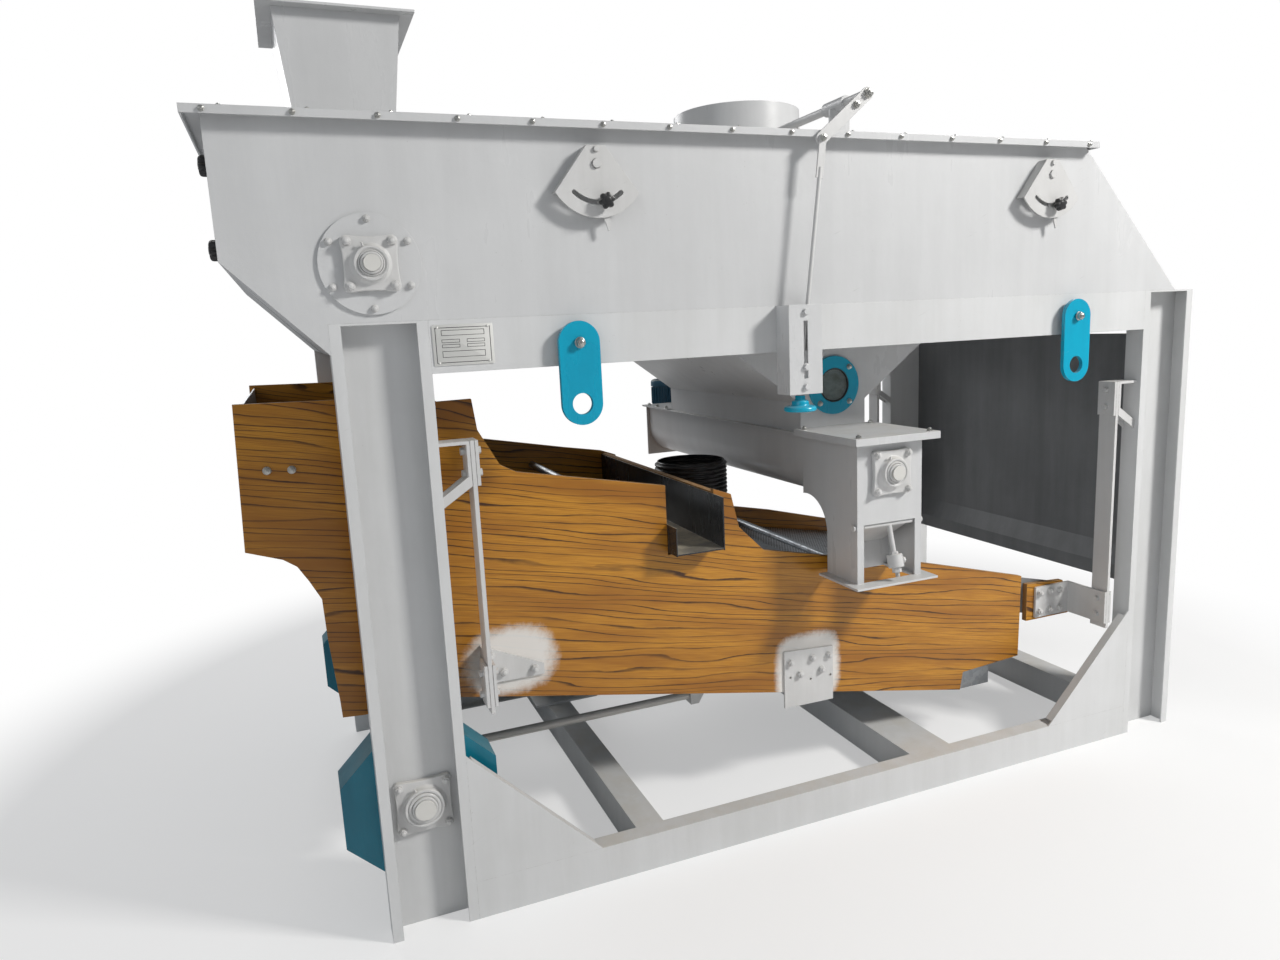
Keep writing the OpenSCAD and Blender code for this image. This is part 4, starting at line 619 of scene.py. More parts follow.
@dataclass(frozen=True)
class Metal(Finish):
    """Bare or plated metal."""

    colour: Colour
    deep: Colour
    rough: float = 0.36
    spangle: float = 0.0
    cells: float = 90.0
    brush: float = 0.5
    stain: float = 0.2
    stain_colour: Colour = shade(96, 70, 46)
    metallic: float = 1.0
    soft: float = 0.0008
    painted_ends: bool = False
    end_paint: Colour = shade(208, 207, 203)
    # Y where the paint on a shaft's front end stops, in millimetres
    end_stop: float = 57.0
    holes_per_metre: float = 0.0
    # Near-black in the holes: painted shade seen through the punched sheet
    hole_shade: Colour = shade(16, 16, 15)

    def _pierced(self, graph: Graph, groups: Groups, here: Socket) -> Socket:
        """Mask of the sieve's holes, on its faces that lie flat.

        Args:
            graph: The material's graph.
            groups: The shared shader groups.
            here: Coordinates.

        Returns:
            The mask's socket.
        """
        along = graph.stretch(here, (1.0, 1.0, 1.0), -BOAT_SLOPE)
        punched = self.use(graph, groups.holes, along, PerMetre=self.holes_per_metre)
        looks = graph.parts(graph.normal())
        flat = graph.span(graph.math("ABSOLUTE", looks["Z"]), 0.8, 0.9)
        return graph.times(punched.outputs["Hole"], flat)

    def build(self, groups: Groups) -> bpy.types.Material:
        """Metal with spangle, brushed lines, smears and stains.

        Args:
            groups: The shared shader groups.

        Returns:
            The material.
        """
        made, graph, shader, here = self.begin()
        work = self.use(graph, groups.metal, here, Cells=self.cells)
        worn = self.use(graph, groups.wear, here, Width=0.0016, Amount=0.8, Breakup=120.0)
        cell = graph.times(work.outputs["Spangle"], self.spangle)
        line = graph.times(work.outputs["Brush"], self.brush)
        share = graph.plus(cell, line, clamp=True)
        body = graph.blend(share, self.colour, self.deep)
        spot = graph.times(graph.span(work.outputs["Smear"], 0.52, 0.72), self.stain)
        body = graph.blend(spot, body, self.stain_colour)
        body = graph.blend(graph.times(worn.outputs["Edge"], 0.35), body, self.colour)
        bare = graph.minus(self.metallic, graph.times(spot, 0.8), clamp=True)
        if self.painted_ends:
            near, far = (at(0.0, self.end_stop + aside, 0.0).y for aside in (-1.0, 1.0))
            out = graph.span(graph.parts(here)["Y"], near, far, 1.0, 0.0)
            body = graph.blend(out, body, self.end_paint)
            bare = graph.times(bare, graph.minus(1.0, out))
        height = share
        if self.holes_per_metre:
            hole = self._pierced(graph, groups, here)
            # Holes drawn as near-black spots: painted shade in place of openings
            body = graph.blend(hole, body, self.hole_shade)
            bare = graph.times(bare, graph.minus(1.0, hole))
            height = graph.minus(share, graph.times(hole, 8.0))
        graph.feed(shader.inputs["Base Color"], body)
        graph.feed(shader.inputs["Metallic"], bare)
        smooth = graph.plus(graph.times(share, 0.14), self.rough)
        smooth = graph.plus(smooth, graph.times(spot, 0.5), clamp=True)
        graph.feed(shader.inputs["Roughness"], smooth)
        graph.feed(shader.inputs["Normal"], self.relief(graph, height, 0.00012, self.soft))
        return made


@dataclass(frozen=True)
class Moulded(Finish):
    """Moulded plastic or rubber."""

    colour: Colour
    rough: float = 0.4
    grain: float = 900.0
    depth: float = 0.00012
    dust: float = 0.3
    worn_colour: Colour = shade(96, 96, 98)
    dust_colour: Colour = shade(150, 142, 126)

    def build(self, groups: Groups) -> bpy.types.Material:
        """Plastic or rubber with a fine texture, shiny spots and dust.

        Args:
            groups: The shared shader groups.

        Returns:
            The material.
        """
        made, graph, shader, here = self.begin()
        fine = graph.noise(here, self.grain, 3.0, 0.6)
        broad = graph.noise(here, 18.0, 5.0, 0.6)
        worn = self.use(graph, groups.wear, here, Width=0.0014, Amount=0.5, Breakup=150.0)
        lying = self.use(graph, groups.dust, here, Amount=self.dust, Scale=24.0)
        lighter = tuple(min(1.0, part * 1.7 + 0.02) for part in self.colour[:3]) + (1.0,)
        body = graph.blend(graph.span(broad, 0.35, 0.7), self.colour, lighter)
        body = graph.blend(worn.outputs["Mask"], body, self.worn_colour)
        body = graph.blend(lying.outputs["Mask"], body, self.dust_colour)
        graph.feed(shader.inputs["Base Color"], body)
        smooth = graph.plus(graph.times(broad, 0.2), self.rough - 0.1)
        smooth = graph.plus(smooth, graph.times(lying.outputs["Mask"], 0.5), clamp=True)
        graph.feed(shader.inputs["Roughness"], smooth)
        graph.feed(shader.inputs["Normal"], self.relief(graph, fine, self.depth, 0.0008))
        return made


@dataclass(frozen=True)
class FacedBoard(Finish):
    """Board with a wood-grain face, plies on its cut edges and sprayed marks at the brackets."""

    light: Colour = shade(192, 134, 38)
    amber: Colour = shade(150, 95, 20)
    dark: Colour = shade(56, 28, 6)
    ply_light: Colour = shade(176, 132, 78)
    ply_dark: Colour = shade(122, 80, 38)
    worn_colour: Colour = shade(214, 176, 118)
    dust_colour: Colour = shade(190, 176, 148)
    spray: Colour = shade(226, 225, 222)
    plies_per_metre: float = 270.0
    # X and Z of each mist's middle in millimetres, half its width and height in metres, squareness
    mists: tuple[tuple[float, ...], ...] = ((372.0, 588.0, 0.122, 0.092, 2.4),
                                            (1271.0, 392.0, 0.112, 0.110, 4.0))

    def _sprayed(self, graph: Graph, here: Socket) -> Socket:
        """Mask of paint mist round the steel brackets.

        Args:
            graph: The material's graph.
            here: Coordinates.

        Returns:
            The mask's socket.
        """
        total: Socket | None = None
        cloud = graph.noise(here, 34.0, 5.0, 0.7)
        parts = graph.parts(here)
        for x, z, wide, tall, square in self.mists:
            spot = at(x, 0.0, z)
            across = graph.math("DIVIDE", graph.minus(parts["X"], spot.x), wide)
            along = graph.math("DIVIDE", graph.minus(parts["Z"], spot.z), tall)
            reaches = [graph.math("POWER", graph.math("ABSOLUTE", part), square) for part in (across, along)]
            squared = graph.plus(reaches[0], reaches[1])
            edge = graph.plus(squared, graph.times(graph.minus(cloud, 0.5), 0.9))
            mask = graph.span(edge, 0.42, 1.35, 1.0, 0.0)
            total = mask if total is None else graph.math("MAXIMUM", total, mask)
        return total

    def build(self, groups: Groups) -> bpy.types.Material:
        """Grained face, plied edges, mist at the brackets and handling marks.

        Args:
            groups: The shared shader groups.

        Returns:
            The material.
        """
        made, graph, shader, here = self.begin()
        along = graph.stretch(here, (1.0, 1.0, 1.0), -BOAT_SLOPE)
        grain = self.use(graph, groups.wood, along)
        worn = self.use(graph, groups.wear, here, Width=0.0022, Amount=0.7, Breakup=90.0)
        lying = self.use(graph, groups.dust, here, Amount=0.35)
        face = graph.blend(graph.span(grain.outputs["Tone"], 0.34, 0.66), self.amber, self.light)
        fibres = graph.times(graph.span(grain.outputs["Fibre"], 0.42, 0.64), 0.7)
        face = graph.blend(fibres, face, self.amber)
        face = graph.blend(graph.times(grain.outputs["Line"], 0.96), face, self.dark)
        looks = graph.parts(graph.normal())
        cut = graph.span(graph.math("ABSOLUTE", looks["Y"]), 0.5, 0.8, 1.0, 0.0)
        ply = graph.math("FRACT", graph.times(graph.parts(here)["Y"], self.plies_per_metre))
        plies = graph.blend(graph.span(ply, 0.42, 0.58), self.ply_light, self.ply_dark)
        body = graph.blend(cut, face, plies)
        body = graph.blend(graph.times(worn.outputs["Mask"], 0.5), body, self.worn_colour)
        mist = graph.times(self._sprayed(graph, here), 0.92)
        body = graph.blend(mist, body, self.spray)
        body = graph.blend(lying.outputs["Mask"], body, self.dust_colour)
        graph.feed(shader.inputs["Base Color"], body)
        smooth = graph.plus(graph.times(grain.outputs["Fibre"], 0.2), 0.24)
        smooth = graph.plus(smooth, graph.times(cut, 0.3))
        smooth = graph.plus(smooth, graph.times(lying.outputs["Mask"], 0.4), clamp=True)
        graph.feed(shader.inputs["Roughness"], smooth)
        graph.feed(shader.inputs["Normal"], self.relief(graph, grain.outputs["Height"], 0.00014, 0.001))
        return made


@dataclass(frozen=True)
class Glass(Finish):
    """Clear pane with a faint dusty film."""

    tint: Colour = shade(206, 222, 220)
    film: Colour = shade(170, 176, 170)

    def build(self, groups: Groups) -> bpy.types.Material:
        """Clear glass with smears in its roughness.

        Args:
            groups: The shared shader groups.

        Returns:
            The material.
        """
        made, graph, shader, here = self.begin()
        shader.inputs["Transmission Weight"].default_value = 0.85
        shader.inputs["IOR"].default_value = 1.45
        smear = graph.noise(here, 40.0, 6.0, 0.7)
        body = graph.blend(graph.span(smear, 0.4, 0.7), self.tint, self.film)
        graph.feed(shader.inputs["Base Color"], body)
        graph.feed(shader.inputs["Roughness"], graph.span(smear, 0.35, 0.75, 0.03, 0.22))
        return made


class Slot(Enum):
    """Finishes by the record's material slots."""

    FRAME = "frame_paint"
    CASING = "casing_paint"
    FITTING = "fitting_paint"
    TEAL = "teal_paint"
    GUARD = "guard_paint"
    MOTOR = "motor_paint"
    KNOB = "black_knob"
    STEEL = "machined_steel"
    ZINC = "zinc_plate"
    PLATE = "plate_aluminium"
    WOOD = "wood_panel"
    GALVANISED = "galvanised"
    SHEET = "dark_sheet"
    GLASS = "clear_glass"
    RUBBER = "black_rubber"


class Finishes:
    """All finishes of the machine, ready to use."""

    def __init__(self) -> None:
        """Builds the shared groups and each slot's material."""
        groups = Groups()
        white, white_deep = shade(211, 212, 213), shade(199, 200, 200)
        zinc, zinc_deep = shade(176, 180, 184), shade(128, 134, 140)
        recipes: dict[Slot, Finish] = {
            Slot.FRAME: Paint("frame_enamel", white, white_deep, wear=0.45, dust=0.35),
            Slot.CASING: Paint("casing_enamel", shade(205, 206, 207), shade(195, 196, 197), wear=0.3,
                               rough=0.3),
            Slot.FITTING: Paint("fitting_enamel", shade(210, 210, 210), shade(192, 192, 191), wear=0.8,
                                soft=0.0008),
            Slot.TEAL: Paint("teal_enamel", shade(3, 164, 196), shade(2, 146, 178),
                             under=shade(92, 100, 102), rough=0.26, wear=0.5),
            Slot.GUARD: Paint("guard_enamel", shade(10, 118, 140), shade(4, 96, 118),
                              under=shade(80, 88, 90), rough=0.34),
            Slot.MOTOR: Paint("motor_enamel", shade(44, 92, 116), shade(30, 74, 98),
                              under=shade(90, 92, 92), rough=0.42, dust=0.6),
            Slot.KNOB: Moulded("knob_plastic", shade(22, 22, 24), rough=0.32),
            Slot.STEEL: Metal("turned_steel", shade(176, 174, 170), shade(120, 116, 110), rough=0.3,
                              stain=0.5, painted_ends=True),
            Slot.ZINC: Metal("zinc_plating", shade(190, 190, 186), shade(150, 150, 146), rough=0.3,
                             brush=0.3, stain=0.12),
            Slot.PLATE: Metal("plate_metal", shade(216, 216, 213), shade(198, 198, 195), rough=0.42,
                              stain=0.04, brush=0.3, metallic=0.3),
            Slot.WOOD: FacedBoard("grained_board"),
            Slot.GALVANISED: Metal("galvanised_sheet", zinc, zinc_deep, rough=0.38, spangle=0.42,
                                   cells=70.0, brush=0.15, stain=0.3),
            # Mid grey for the end panel and end chute, which are the light grey paint of the frame: painted
            # shade. The dust on their faces that look up is partly dust and partly painted light on the end
            # chute's floor
            Slot.SHEET: Paint("shade_painted_enamel", shade(130, 132, 134), shade(108, 110, 112),
                              under=shade(140, 140, 138), rough=0.42, wear=0.5, dust=0.55),
            Slot.GLASS: Glass("sight_pane"),
            Slot.RUBBER: Moulded("black_rubber", shade(20, 20, 21), rough=0.3, grain=500.0, dust=0.12),
        }
        self.made = {slot: recipe.build(groups) for slot, recipe in recipes.items()}
        sieve = Metal("punched_sheet", zinc, zinc_deep, rough=0.36, spangle=0.3,
                      cells=70.0, brush=0.15, stain=0.3, holes_per_metre=90.0)
        # Near-black walls. Dust at full amount turns the chute's floor pale: partly the floor's own lighter
        # sheet and dust, partly painted sunlight
        chute = Paint("chute_enamel", shade(44, 45, 48), shade(34, 35, 37),
                      under=shade(120, 120, 118), rough=0.26, wear=0.5, dust=1.0)
        rods = Metal("rod_steel", shade(196, 194, 190), shade(158, 156, 152), rough=0.42, brush=0.4,
                     stain=0.25, metallic=0.45)
        self.special = {"screen_decks": sieve.build(groups), "side_chute": chute.build(groups),
                        "connecting_rods": rods.build(groups)}

    def dress_nodes(self, frame: dict) -> None:
        """Gives every CAD node the material of its slot.
        """
        by_name = {slot.value: slot for slot in Slot}
        for part in frame["record"]["subparts"]:
            node = frame["nodes"][part["node"]]
            node.data.materials.clear()
            usual = self.made[by_name[part["material_slot"]]]
            node.data.materials.append(self.special.get(part["node"], usual))
            LOG.info("finished node %s as %s", part["node"], part["material_slot"])


class Form:
    """A mesh in the making: sizes in millimetres, base at the origin, +Z up."""

    def __init__(self) -> None:
        """Starts with an empty mesh."""
        self.mesh = bmesh.new()

    def tidy(self) -> "Form":
        """Merges doubled points and turns the faces outwards.

        Returns:
            The form itself.
        """
        bmesh.ops.remove_doubles(self.mesh, verts=self.mesh.verts[:], dist=1e-6)
        bmesh.ops.recalc_face_normals(self.mesh, faces=self.mesh.faces[:])
        return self

    def soften(self, width: float, rounds: int = 2, low: float = 0.5) -> "Form":
        """Rounds the sharp edges.

        Args:
            width: Width of the rounding.
            rounds: Number of segments.
            low: Least angle, in radians, of an edge that counts as sharp.

        Returns:
            The form itself.
        """
        sharp = [edge for edge in self.mesh.edges if edge.is_manifold and edge.calc_face_angle() > low]
        bmesh.ops.bevel(self.mesh, geom=sharp, offset=width * MM, segments=rounds, profile=0.5,
                        affect="EDGES", material=-1, clamp_overlap=True)
        return self

    def stamp(self, other: "Form", *places: Matrix) -> "Form":
        """Adds copies of another form.

        Args:
            other: Form to copy.
            *places: Placing matrices; without any, the copy stays where it is.

        Returns:
            The form itself.
        """
        data = bpy.data.meshes.new("stamp")
        other.mesh.to_mesh(data)
        for place in places or (Matrix.Identity(4),):
            copy = data.copy()
            copy.transform(place)
            self.mesh.from_mesh(copy)
            bpy.data.meshes.remove(copy)
        bpy.data.meshes.remove(data)
        return self

    @classmethod
    def turned(cls, outline: list[tuple[float, float]], steps: int = 40) -> "Form":
        """Lathe-turned form.

        Args:
            outline: Points of radius and height; a line that leaves the axis closes on itself.
            steps: Number of steps round the axis.

        Returns:
            The closed form.
        """
        form = cls()
        spots = [form.mesh.verts.new((radius * MM, 0.0, height * MM)) for radius, height in outline]
        lines = [form.mesh.edges.new(pair) for pair in zip(spots, spots[1:])]
        if outline[0][0] > 0.0 or outline[-1][0] > 0.0:
            lines.append(form.mesh.edges.new((spots[-1], spots[0])))
        bmesh.ops.spin(form.mesh, geom=spots + lines, cent=(0.0, 0.0, 0.0), axis=(0.0, 0.0, 1.0),
                       angle=math.tau, steps=steps, use_merge=True)
        return form.tidy()

    @classmethod
    def tube(cls, inner: float, outer: float, low: float, high: float, steps: int) -> "Form":
        """Plain tube, or a solid cylinder where the inner radius is 0."""
        return cls.turned([(inner, low), (outer, low), (outer, high), (inner, high)], steps)

    @classmethod
    def block(cls, wide: float, deep: float, high: float, soft: float = 1.0, rounds: int = 2) -> "Form":
        """Block with rounded edges, centred on the origin in plan.

        Args:
            wide: Size along X.
            deep: Size along Y.
            high: Size along Z.
            soft: Radius of the edges.
            rounds: Segments of the rounding.

        Returns:
            The form.
        """
        form = cls()
        bmesh.ops.create_cube(form.mesh, size=1.0)
        bmesh.ops.translate(form.mesh, vec=(0.0, 0.0, 0.5), verts=form.mesh.verts)
        bmesh.ops.scale(form.mesh, vec=Vector((wide, deep, high)) * MM, verts=form.mesh.verts)
        return form.soften(soft, rounds)

    @classmethod
    def plate(cls, outline: list[tuple[float, float]], thick: float, soft: float = 0.8,
              rounds: int = 2) -> "Form":
        """Flat plate cut to an outline.

        Args:
            outline: Corner points in X and Y.
            thick: Thickness.
            soft: Radius of the sharp edges.
            rounds: Segments of the rounding.

        Returns:
            The form.
        """
        form = cls()
        rim = [form.mesh.verts.new((x * MM, y * MM, 0.0)) for x, y in outline]
        lines = [form.mesh.edges.new(pair) for pair in zip(rim, rim[1:] + rim[:1])]
        base = bmesh.ops.contextual_create(form.mesh, geom=lines)["faces"]
        grown = bmesh.ops.extrude_face_region(form.mesh, geom=base, use_keep_orig=True)
        moved = [part for part in grown["geom"] if isinstance(part, bmesh.types.BMVert)]
        bmesh.ops.translate(form.mesh, vec=(0.0, 0.0, thick * MM), verts=moved)
        form.tidy()
        return form.soften(soft, rounds) if soft else form

    @classmethod
    def prism(cls, sides: int, radius: float, high: float, chamfer: float) -> "Form":
        """Prism whose top corners are chamfered, as a nut's are.

        Args:
            sides: Number of sides.
            radius: Radius to the corners.
            high: Height.
            chamfer: Width of the chamfer.

        Returns:
            The form.
        """
        form = cls()
        bmesh.ops.create_cone(form.mesh, cap_ends=True, segments=sides, radius1=radius * MM,
                              radius2=radius * MM, depth=high * MM, matrix=shift(0.0, 0.0, high / 2))
        top = [edge for edge in form.mesh.edges if min(spot.co.z for spot in edge.verts) > high * MM * 0.99]
        bmesh.ops.bevel(form.mesh, geom=top, offset=chamfer * MM, segments=2, profile=0.5, affect="EDGES",
                        material=-1, clamp_overlap=True)
        return form

    @classmethod
    def lobed(cls, radius: float, lobes: int, depth: float, levels: list[tuple[float, float]]) -> "Form":
        """Star grip: a lobed disc drawn up through levels of height and scale.

        Args:
            radius: Outer radius.
            lobes: Number of lobes.
            depth: Share of the radius cut away between lobes.
            levels: Height and scale of each level.

        Returns:
            The closed form.
        """
        form = cls()
        bmesh.ops.create_circle(form.mesh, cap_ends=True, radius=radius * MM, segments=lobes * 12)
        for spot in form.mesh.verts:
            angle = math.atan2(spot.co.y, spot.co.x)
            spot.co *= 1.0 - depth * (0.5 - 0.5 * math.cos(lobes * angle)) ** 1.4
        ring = form.mesh.faces[:]
        bmesh.ops.translate(form.mesh, vec=(0.0, 0.0, levels[0][0] * MM), verts=form.mesh.verts)
        bmesh.ops.scale(form.mesh, vec=(levels[0][1], levels[0][1], 1.0), verts=form.mesh.verts)
        for (below, small), (above, large) in zip(levels, levels[1:]):
            grown = bmesh.ops.extrude_face_region(form.mesh, geom=ring, use_keep_orig=below == levels[0][0])
            ring = [part for part in grown["geom"] if isinstance(part, bmesh.types.BMFace)]
            moved = [part for part in grown["geom"] if isinstance(part, bmesh.types.BMVert)]
            bmesh.ops.translate(form.mesh, vec=(0.0, 0.0, (above - below) * MM), verts=moved)
            bmesh.ops.scale(form.mesh, vec=(large / small, large / small, 1.0), verts=moved)
        return form.tidy()


class Body(Enum):
    """Bodies of the CAD model that carry pieces."""

    MACHINE = "machine"
    BOAT = "boat"
    HANDWHEEL = "handwheel"
    UPPER_KNOB = "upper_knob"
    LOWER_KNOB = "lower_knob"
    INLET_KNOB = "inlet_knob"
    OUTLET_KNOB = "outlet_knob"
    VALVE = "valve"
    FLAP = "flap"


@dataclass
class Shop:
    """Turns forms into finished pieces of the scene."""

    finishes: Finishes

    def keep(self, form: Form, name: str, slot: Slot, body: Body, replaces: tuple[str, ...] = (),
             crease: float = 34.0) -> None:
        """Makes a form a piece that rides on a body.

        Args:
            form: The form, in place in the frame.
            name: Name of the piece.
            slot: Its finish.
            body: Body that carries it.
            replaces: CAD nodes that it stands for.
            crease: Angle in degrees above which an edge stays sharp.
        """
        data = bpy.data.meshes.new(name)
        form.mesh.to_mesh(data)
        form.mesh.free()
        data.shade_smooth()
        data.set_sharp_from_angle(angle=math.radians(crease))
        data.materials.append(self.finishes.made[slot])
        piece = put(name, data)
        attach(piece, body.value)
        if replaces:
            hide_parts(*replaces)
        LOG.info("built %s: %d faces on %s", name, len(data.polygons), body.value)


@dataclass
class Fastener:
    """Hexagon nut on a stud end over a washer, for a thread of 1 mm; it is scaled to its thread."""

    washer: float = 1.05
    corner: float = 0.9
    nut_high: float = 0.72
    stud_out: float = 0.3

    def form(self) -> Form:
        """Washer, chamfered nut and threaded end.

        Returns:
            The fastener on its seat.
        """
        seat = 0.2
        disc = [(0.0, 0.0), (self.washer, 0.0), (self.washer, 0.12), (self.washer - 0.08, seat), (0.0, seat)]
        made = Form.turned(disc, 20)
        made.stamp(Form.prism(6, self.corner, self.nut_high, 0.1), shift(0.0, 0.0, seat))
        top = seat + self.nut_high
        line = [(0.0, top - 0.05), (0.46, top - 0.05)]
        for turn in range(2):
            line += [(0.46, top + turn * 0.13 + 0.02), (0.5, top + turn * 0.13 + 0.08)]
        line += [(0.46, top + self.stud_out - 0.05), (0.38, top + self.stud_out), (0.0, top + self.stud_out)]
        return made.stamp(Form.turned(line, 12))


@dataclass
class Fasteners:
    """All bolts of the frame and casing, set where the CAD has its plain ones."""

    node: bpy.types.Object
    lug_pins: tuple[float, float] = (545.0, 2087.0)
    lug_high: float = 1400.0
    lug_thread: float = 12.5

    def _spots(self) -> list[tuple[Vector, Vector, float]]:
        """Finds the bolt heads of the CAD node.

        Returns:
            Base point, direction and thread size of each.
        """
        mesh = bmesh.new()
        mesh.from_mesh(self.node.data)
        bmesh.ops.remove_doubles(mesh, verts=mesh.verts[:], dist=1e-5)
        left = set(mesh.verts)
        found = []
        while left:
            first = min(left, key=lambda spot: spot.index)
            group, border = {first}, [first]
            while border:
                for edge in border.pop().link_edges:
                    for spot in edge.verts:
                        if spot not in group:
                            group.add(spot)
                            border.append(spot)
            left -= group
            low = Vector([min(spot.co[k] for spot in group) for k in range(3)])
            high = Vector([max(spot.co[k] for spot in group) for k in range(3)])
            size = high - low
            axis = min(range(3), key=lambda k: size[k])
            across = max(size)
            if size[axis] > 0.6 * across or sorted(size)[1] < 0.9 * across:
                continue
            middle = (low + high) / 2
            flat = [k for k in range(3) if k != axis]
            centre = [middle[k] for k in flat]
            rim = [spot.co[axis] for spot in group
                   if math.dist([spot.co[k] for k in flat], centre) > 0.49 * across]
            sign = 1.0 if sum(rim) / len(rim) < middle[axis] else -1.0
            base = middle.copy()
            base[axis] = low[axis] if sign > 0 else high[axis]
            way = Vector((0.0, 0.0, 0.0))
            way[axis] = sign
            found.append((base, way, across / 2.1 / MM))
        mesh.free()
        return sorted(found, key=lambda spot: tuple(round(part, 4) for part in spot[0]))

    def build(self, shop: Shop) -> None:
        """Makes the large ones that face front or rear painted, and the others plated.

        Args:
            shop: Where forms become pieces.
        """
        one = Fastener().form()
        painted, plated = Form(), Form()
        for index, (base, way, thread) in enumerate(self._spots()):
            place = facing(base, way, 37.0 * index) @ Matrix.Scale(thread, 4)
            (painted if abs(way.y) > 0.5 and thread > 7.0 else plated).stamp(one, place)
        size = Matrix.Scale(self.lug_thread, 4)
        for x in self.lug_pins:
            for y, way in ((-30.9, Way.FRONT), (5.0, Way.REAR)):
                plated.stamp(one, facing(at(x, y, self.lug_high), way, 12.0) @ size)
            plated.stamp(Form.tube(0.0, 7.9, 0.0, 35.9, 24), facing(at(x, 5.0, self.lug_high), Way.FRONT))
            plated.stamp(Form.tube(8.1, 15.9, 0.0, 14.0, 24), facing(at(x, -0.05, self.lug_high), Way.FRONT))
        shop.keep(painted, "painted_fasteners", Slot.FITTING, Body.MACHINE, ("bolts",))
        shop.keep(plated, "plated_fasteners", Slot.ZINC, Body.MACHINE, ("bolts",))


@dataclass
class FlangeBearing:
    """Square cast flange with its hub, insert, locking collar and grease nipple."""

    shaft: float
    thick: float = 14.0
    corner: float = 13.0
    waist: float = 3.5

    @property
    def half(self) -> float:
        """Half the flange's side."""
        return BOLT_PITCH[self.shaft] / 2 + self.corner

    def _outline(self) -> list[tuple[float, float]]:
        """Rounded square whose sides bow inwards a little.

        Returns:
            The points in order.
        """
        points = []
        inner = self.half - self.corner
        for quarter in range(4):
            for step in range(7):
                angle = math.radians(15.0 * step)
                x, y = inner + self.corner * math.cos(angle), inner + self.corner * math.sin(angle)
                points.append(quarter_turned(x, y, quarter))
            for step in range(1, 8):
                along = 1.0 - step / 4.0
                bow = self.waist * (1.0 - along * along)
                points.append(quarter_turned(inner * along, self.half - bow, quarter))
        return points

    def form(self) -> Form:
        """The whole unit, seated on its flange's rear face.

        Returns:
            The unit.
        """
        ring = 0.76 * self.shaft
        hub = ring + 10.0
        bore = self.shaft / 2 + 0.05
        lock = bore + 5.6
        made = Form().stamp(Form.plate(self._outline(), self.thick, 2.2, 3))
        cup = [(ring + 0.6, 11.0), (hub + 9.0, 12.5), (hub + 5.0, 15.2), (hub + 1.6, 18.5), (hub + 0.4, 23.0),
               (hub, 28.0), (hub - 1.6, 30.0), (ring + 4.6, 30.0), (ring + 2.8, 28.4), (ring + 0.6, 27.0)]
        insert = [(lock, 12.0), (ring + 0.6, 12.0), (ring + 0.6, 29.5), (ring - 0.9, 31.0),
                  (bore + 7.4, 31.0), (lock, 29.0)]
        collar = [(bore, 12.0), (lock, 12.0), (lock, 34.4), (bore + 4.2, 36.0), (bore + 1.0, 36.0),
                  (bore, 35.0)]
        for line in (cup, insert, collar):
            made.stamp(Form.turned(line, 56))
        nipple = Form.turned([(0.0, 0.0), (4.2, 0.0), (4.2, 4.0), (2.4, 5.0), (2.0, 8.0), (2.7, 9.2),
                              (2.4, 11.0), (1.2, 12.0), (0.0, 12.0)], 16)
        lean = Vector((-0.35, 0.94, 0.35)).normalized()
        side, rise = Vector((-0.37, 0.93, 0.0)), Vector((0.0, 0.0, 22.0))
        made.stamp(nipple, facing((side * (hub - 2.0) + rise) * MM, lean))
        boss = Form.turned([(0.0, -2.0), (6.5, -2.0), (6.0, 1.6), (0.0, 1.6)], 16)
        return made.stamp(boss, facing((side * (hub - 1.0) + rise) * MM, lean))


@dataclass
class Bearings:
    """The six bearing units, one at each end of three shafts."""

    # Shaft, X, Z, and Y of the front and the rear seat
    spots: tuple[tuple[float, ...], ...] = ((50.0, 105.0, 312.0, 55.0, 1245.0),
                                            (35.0, 98.0, 1587.0, -6.0, 1306.0),
                                            (40.0, 1438.0, 1000.0, 0.0, 1505.0))

    def build(self, shop: Shop) -> None:
        """Places a unit on each shaft at the front and the rear.

        Args:
            shop: Where forms become pieces.
        """
        made = Form()
        for shaft, x, z, front, rear in self.spots:
            unit = FlangeBearing(shaft).form()
            made.stamp(unit, facing(at(x, front, z), Way.FRONT), facing(at(x, rear, z), Way.REAR))
        shop.keep(made, "bearing_units", Slot.FITTING, Body.MACHINE, ("flange_bearings",))


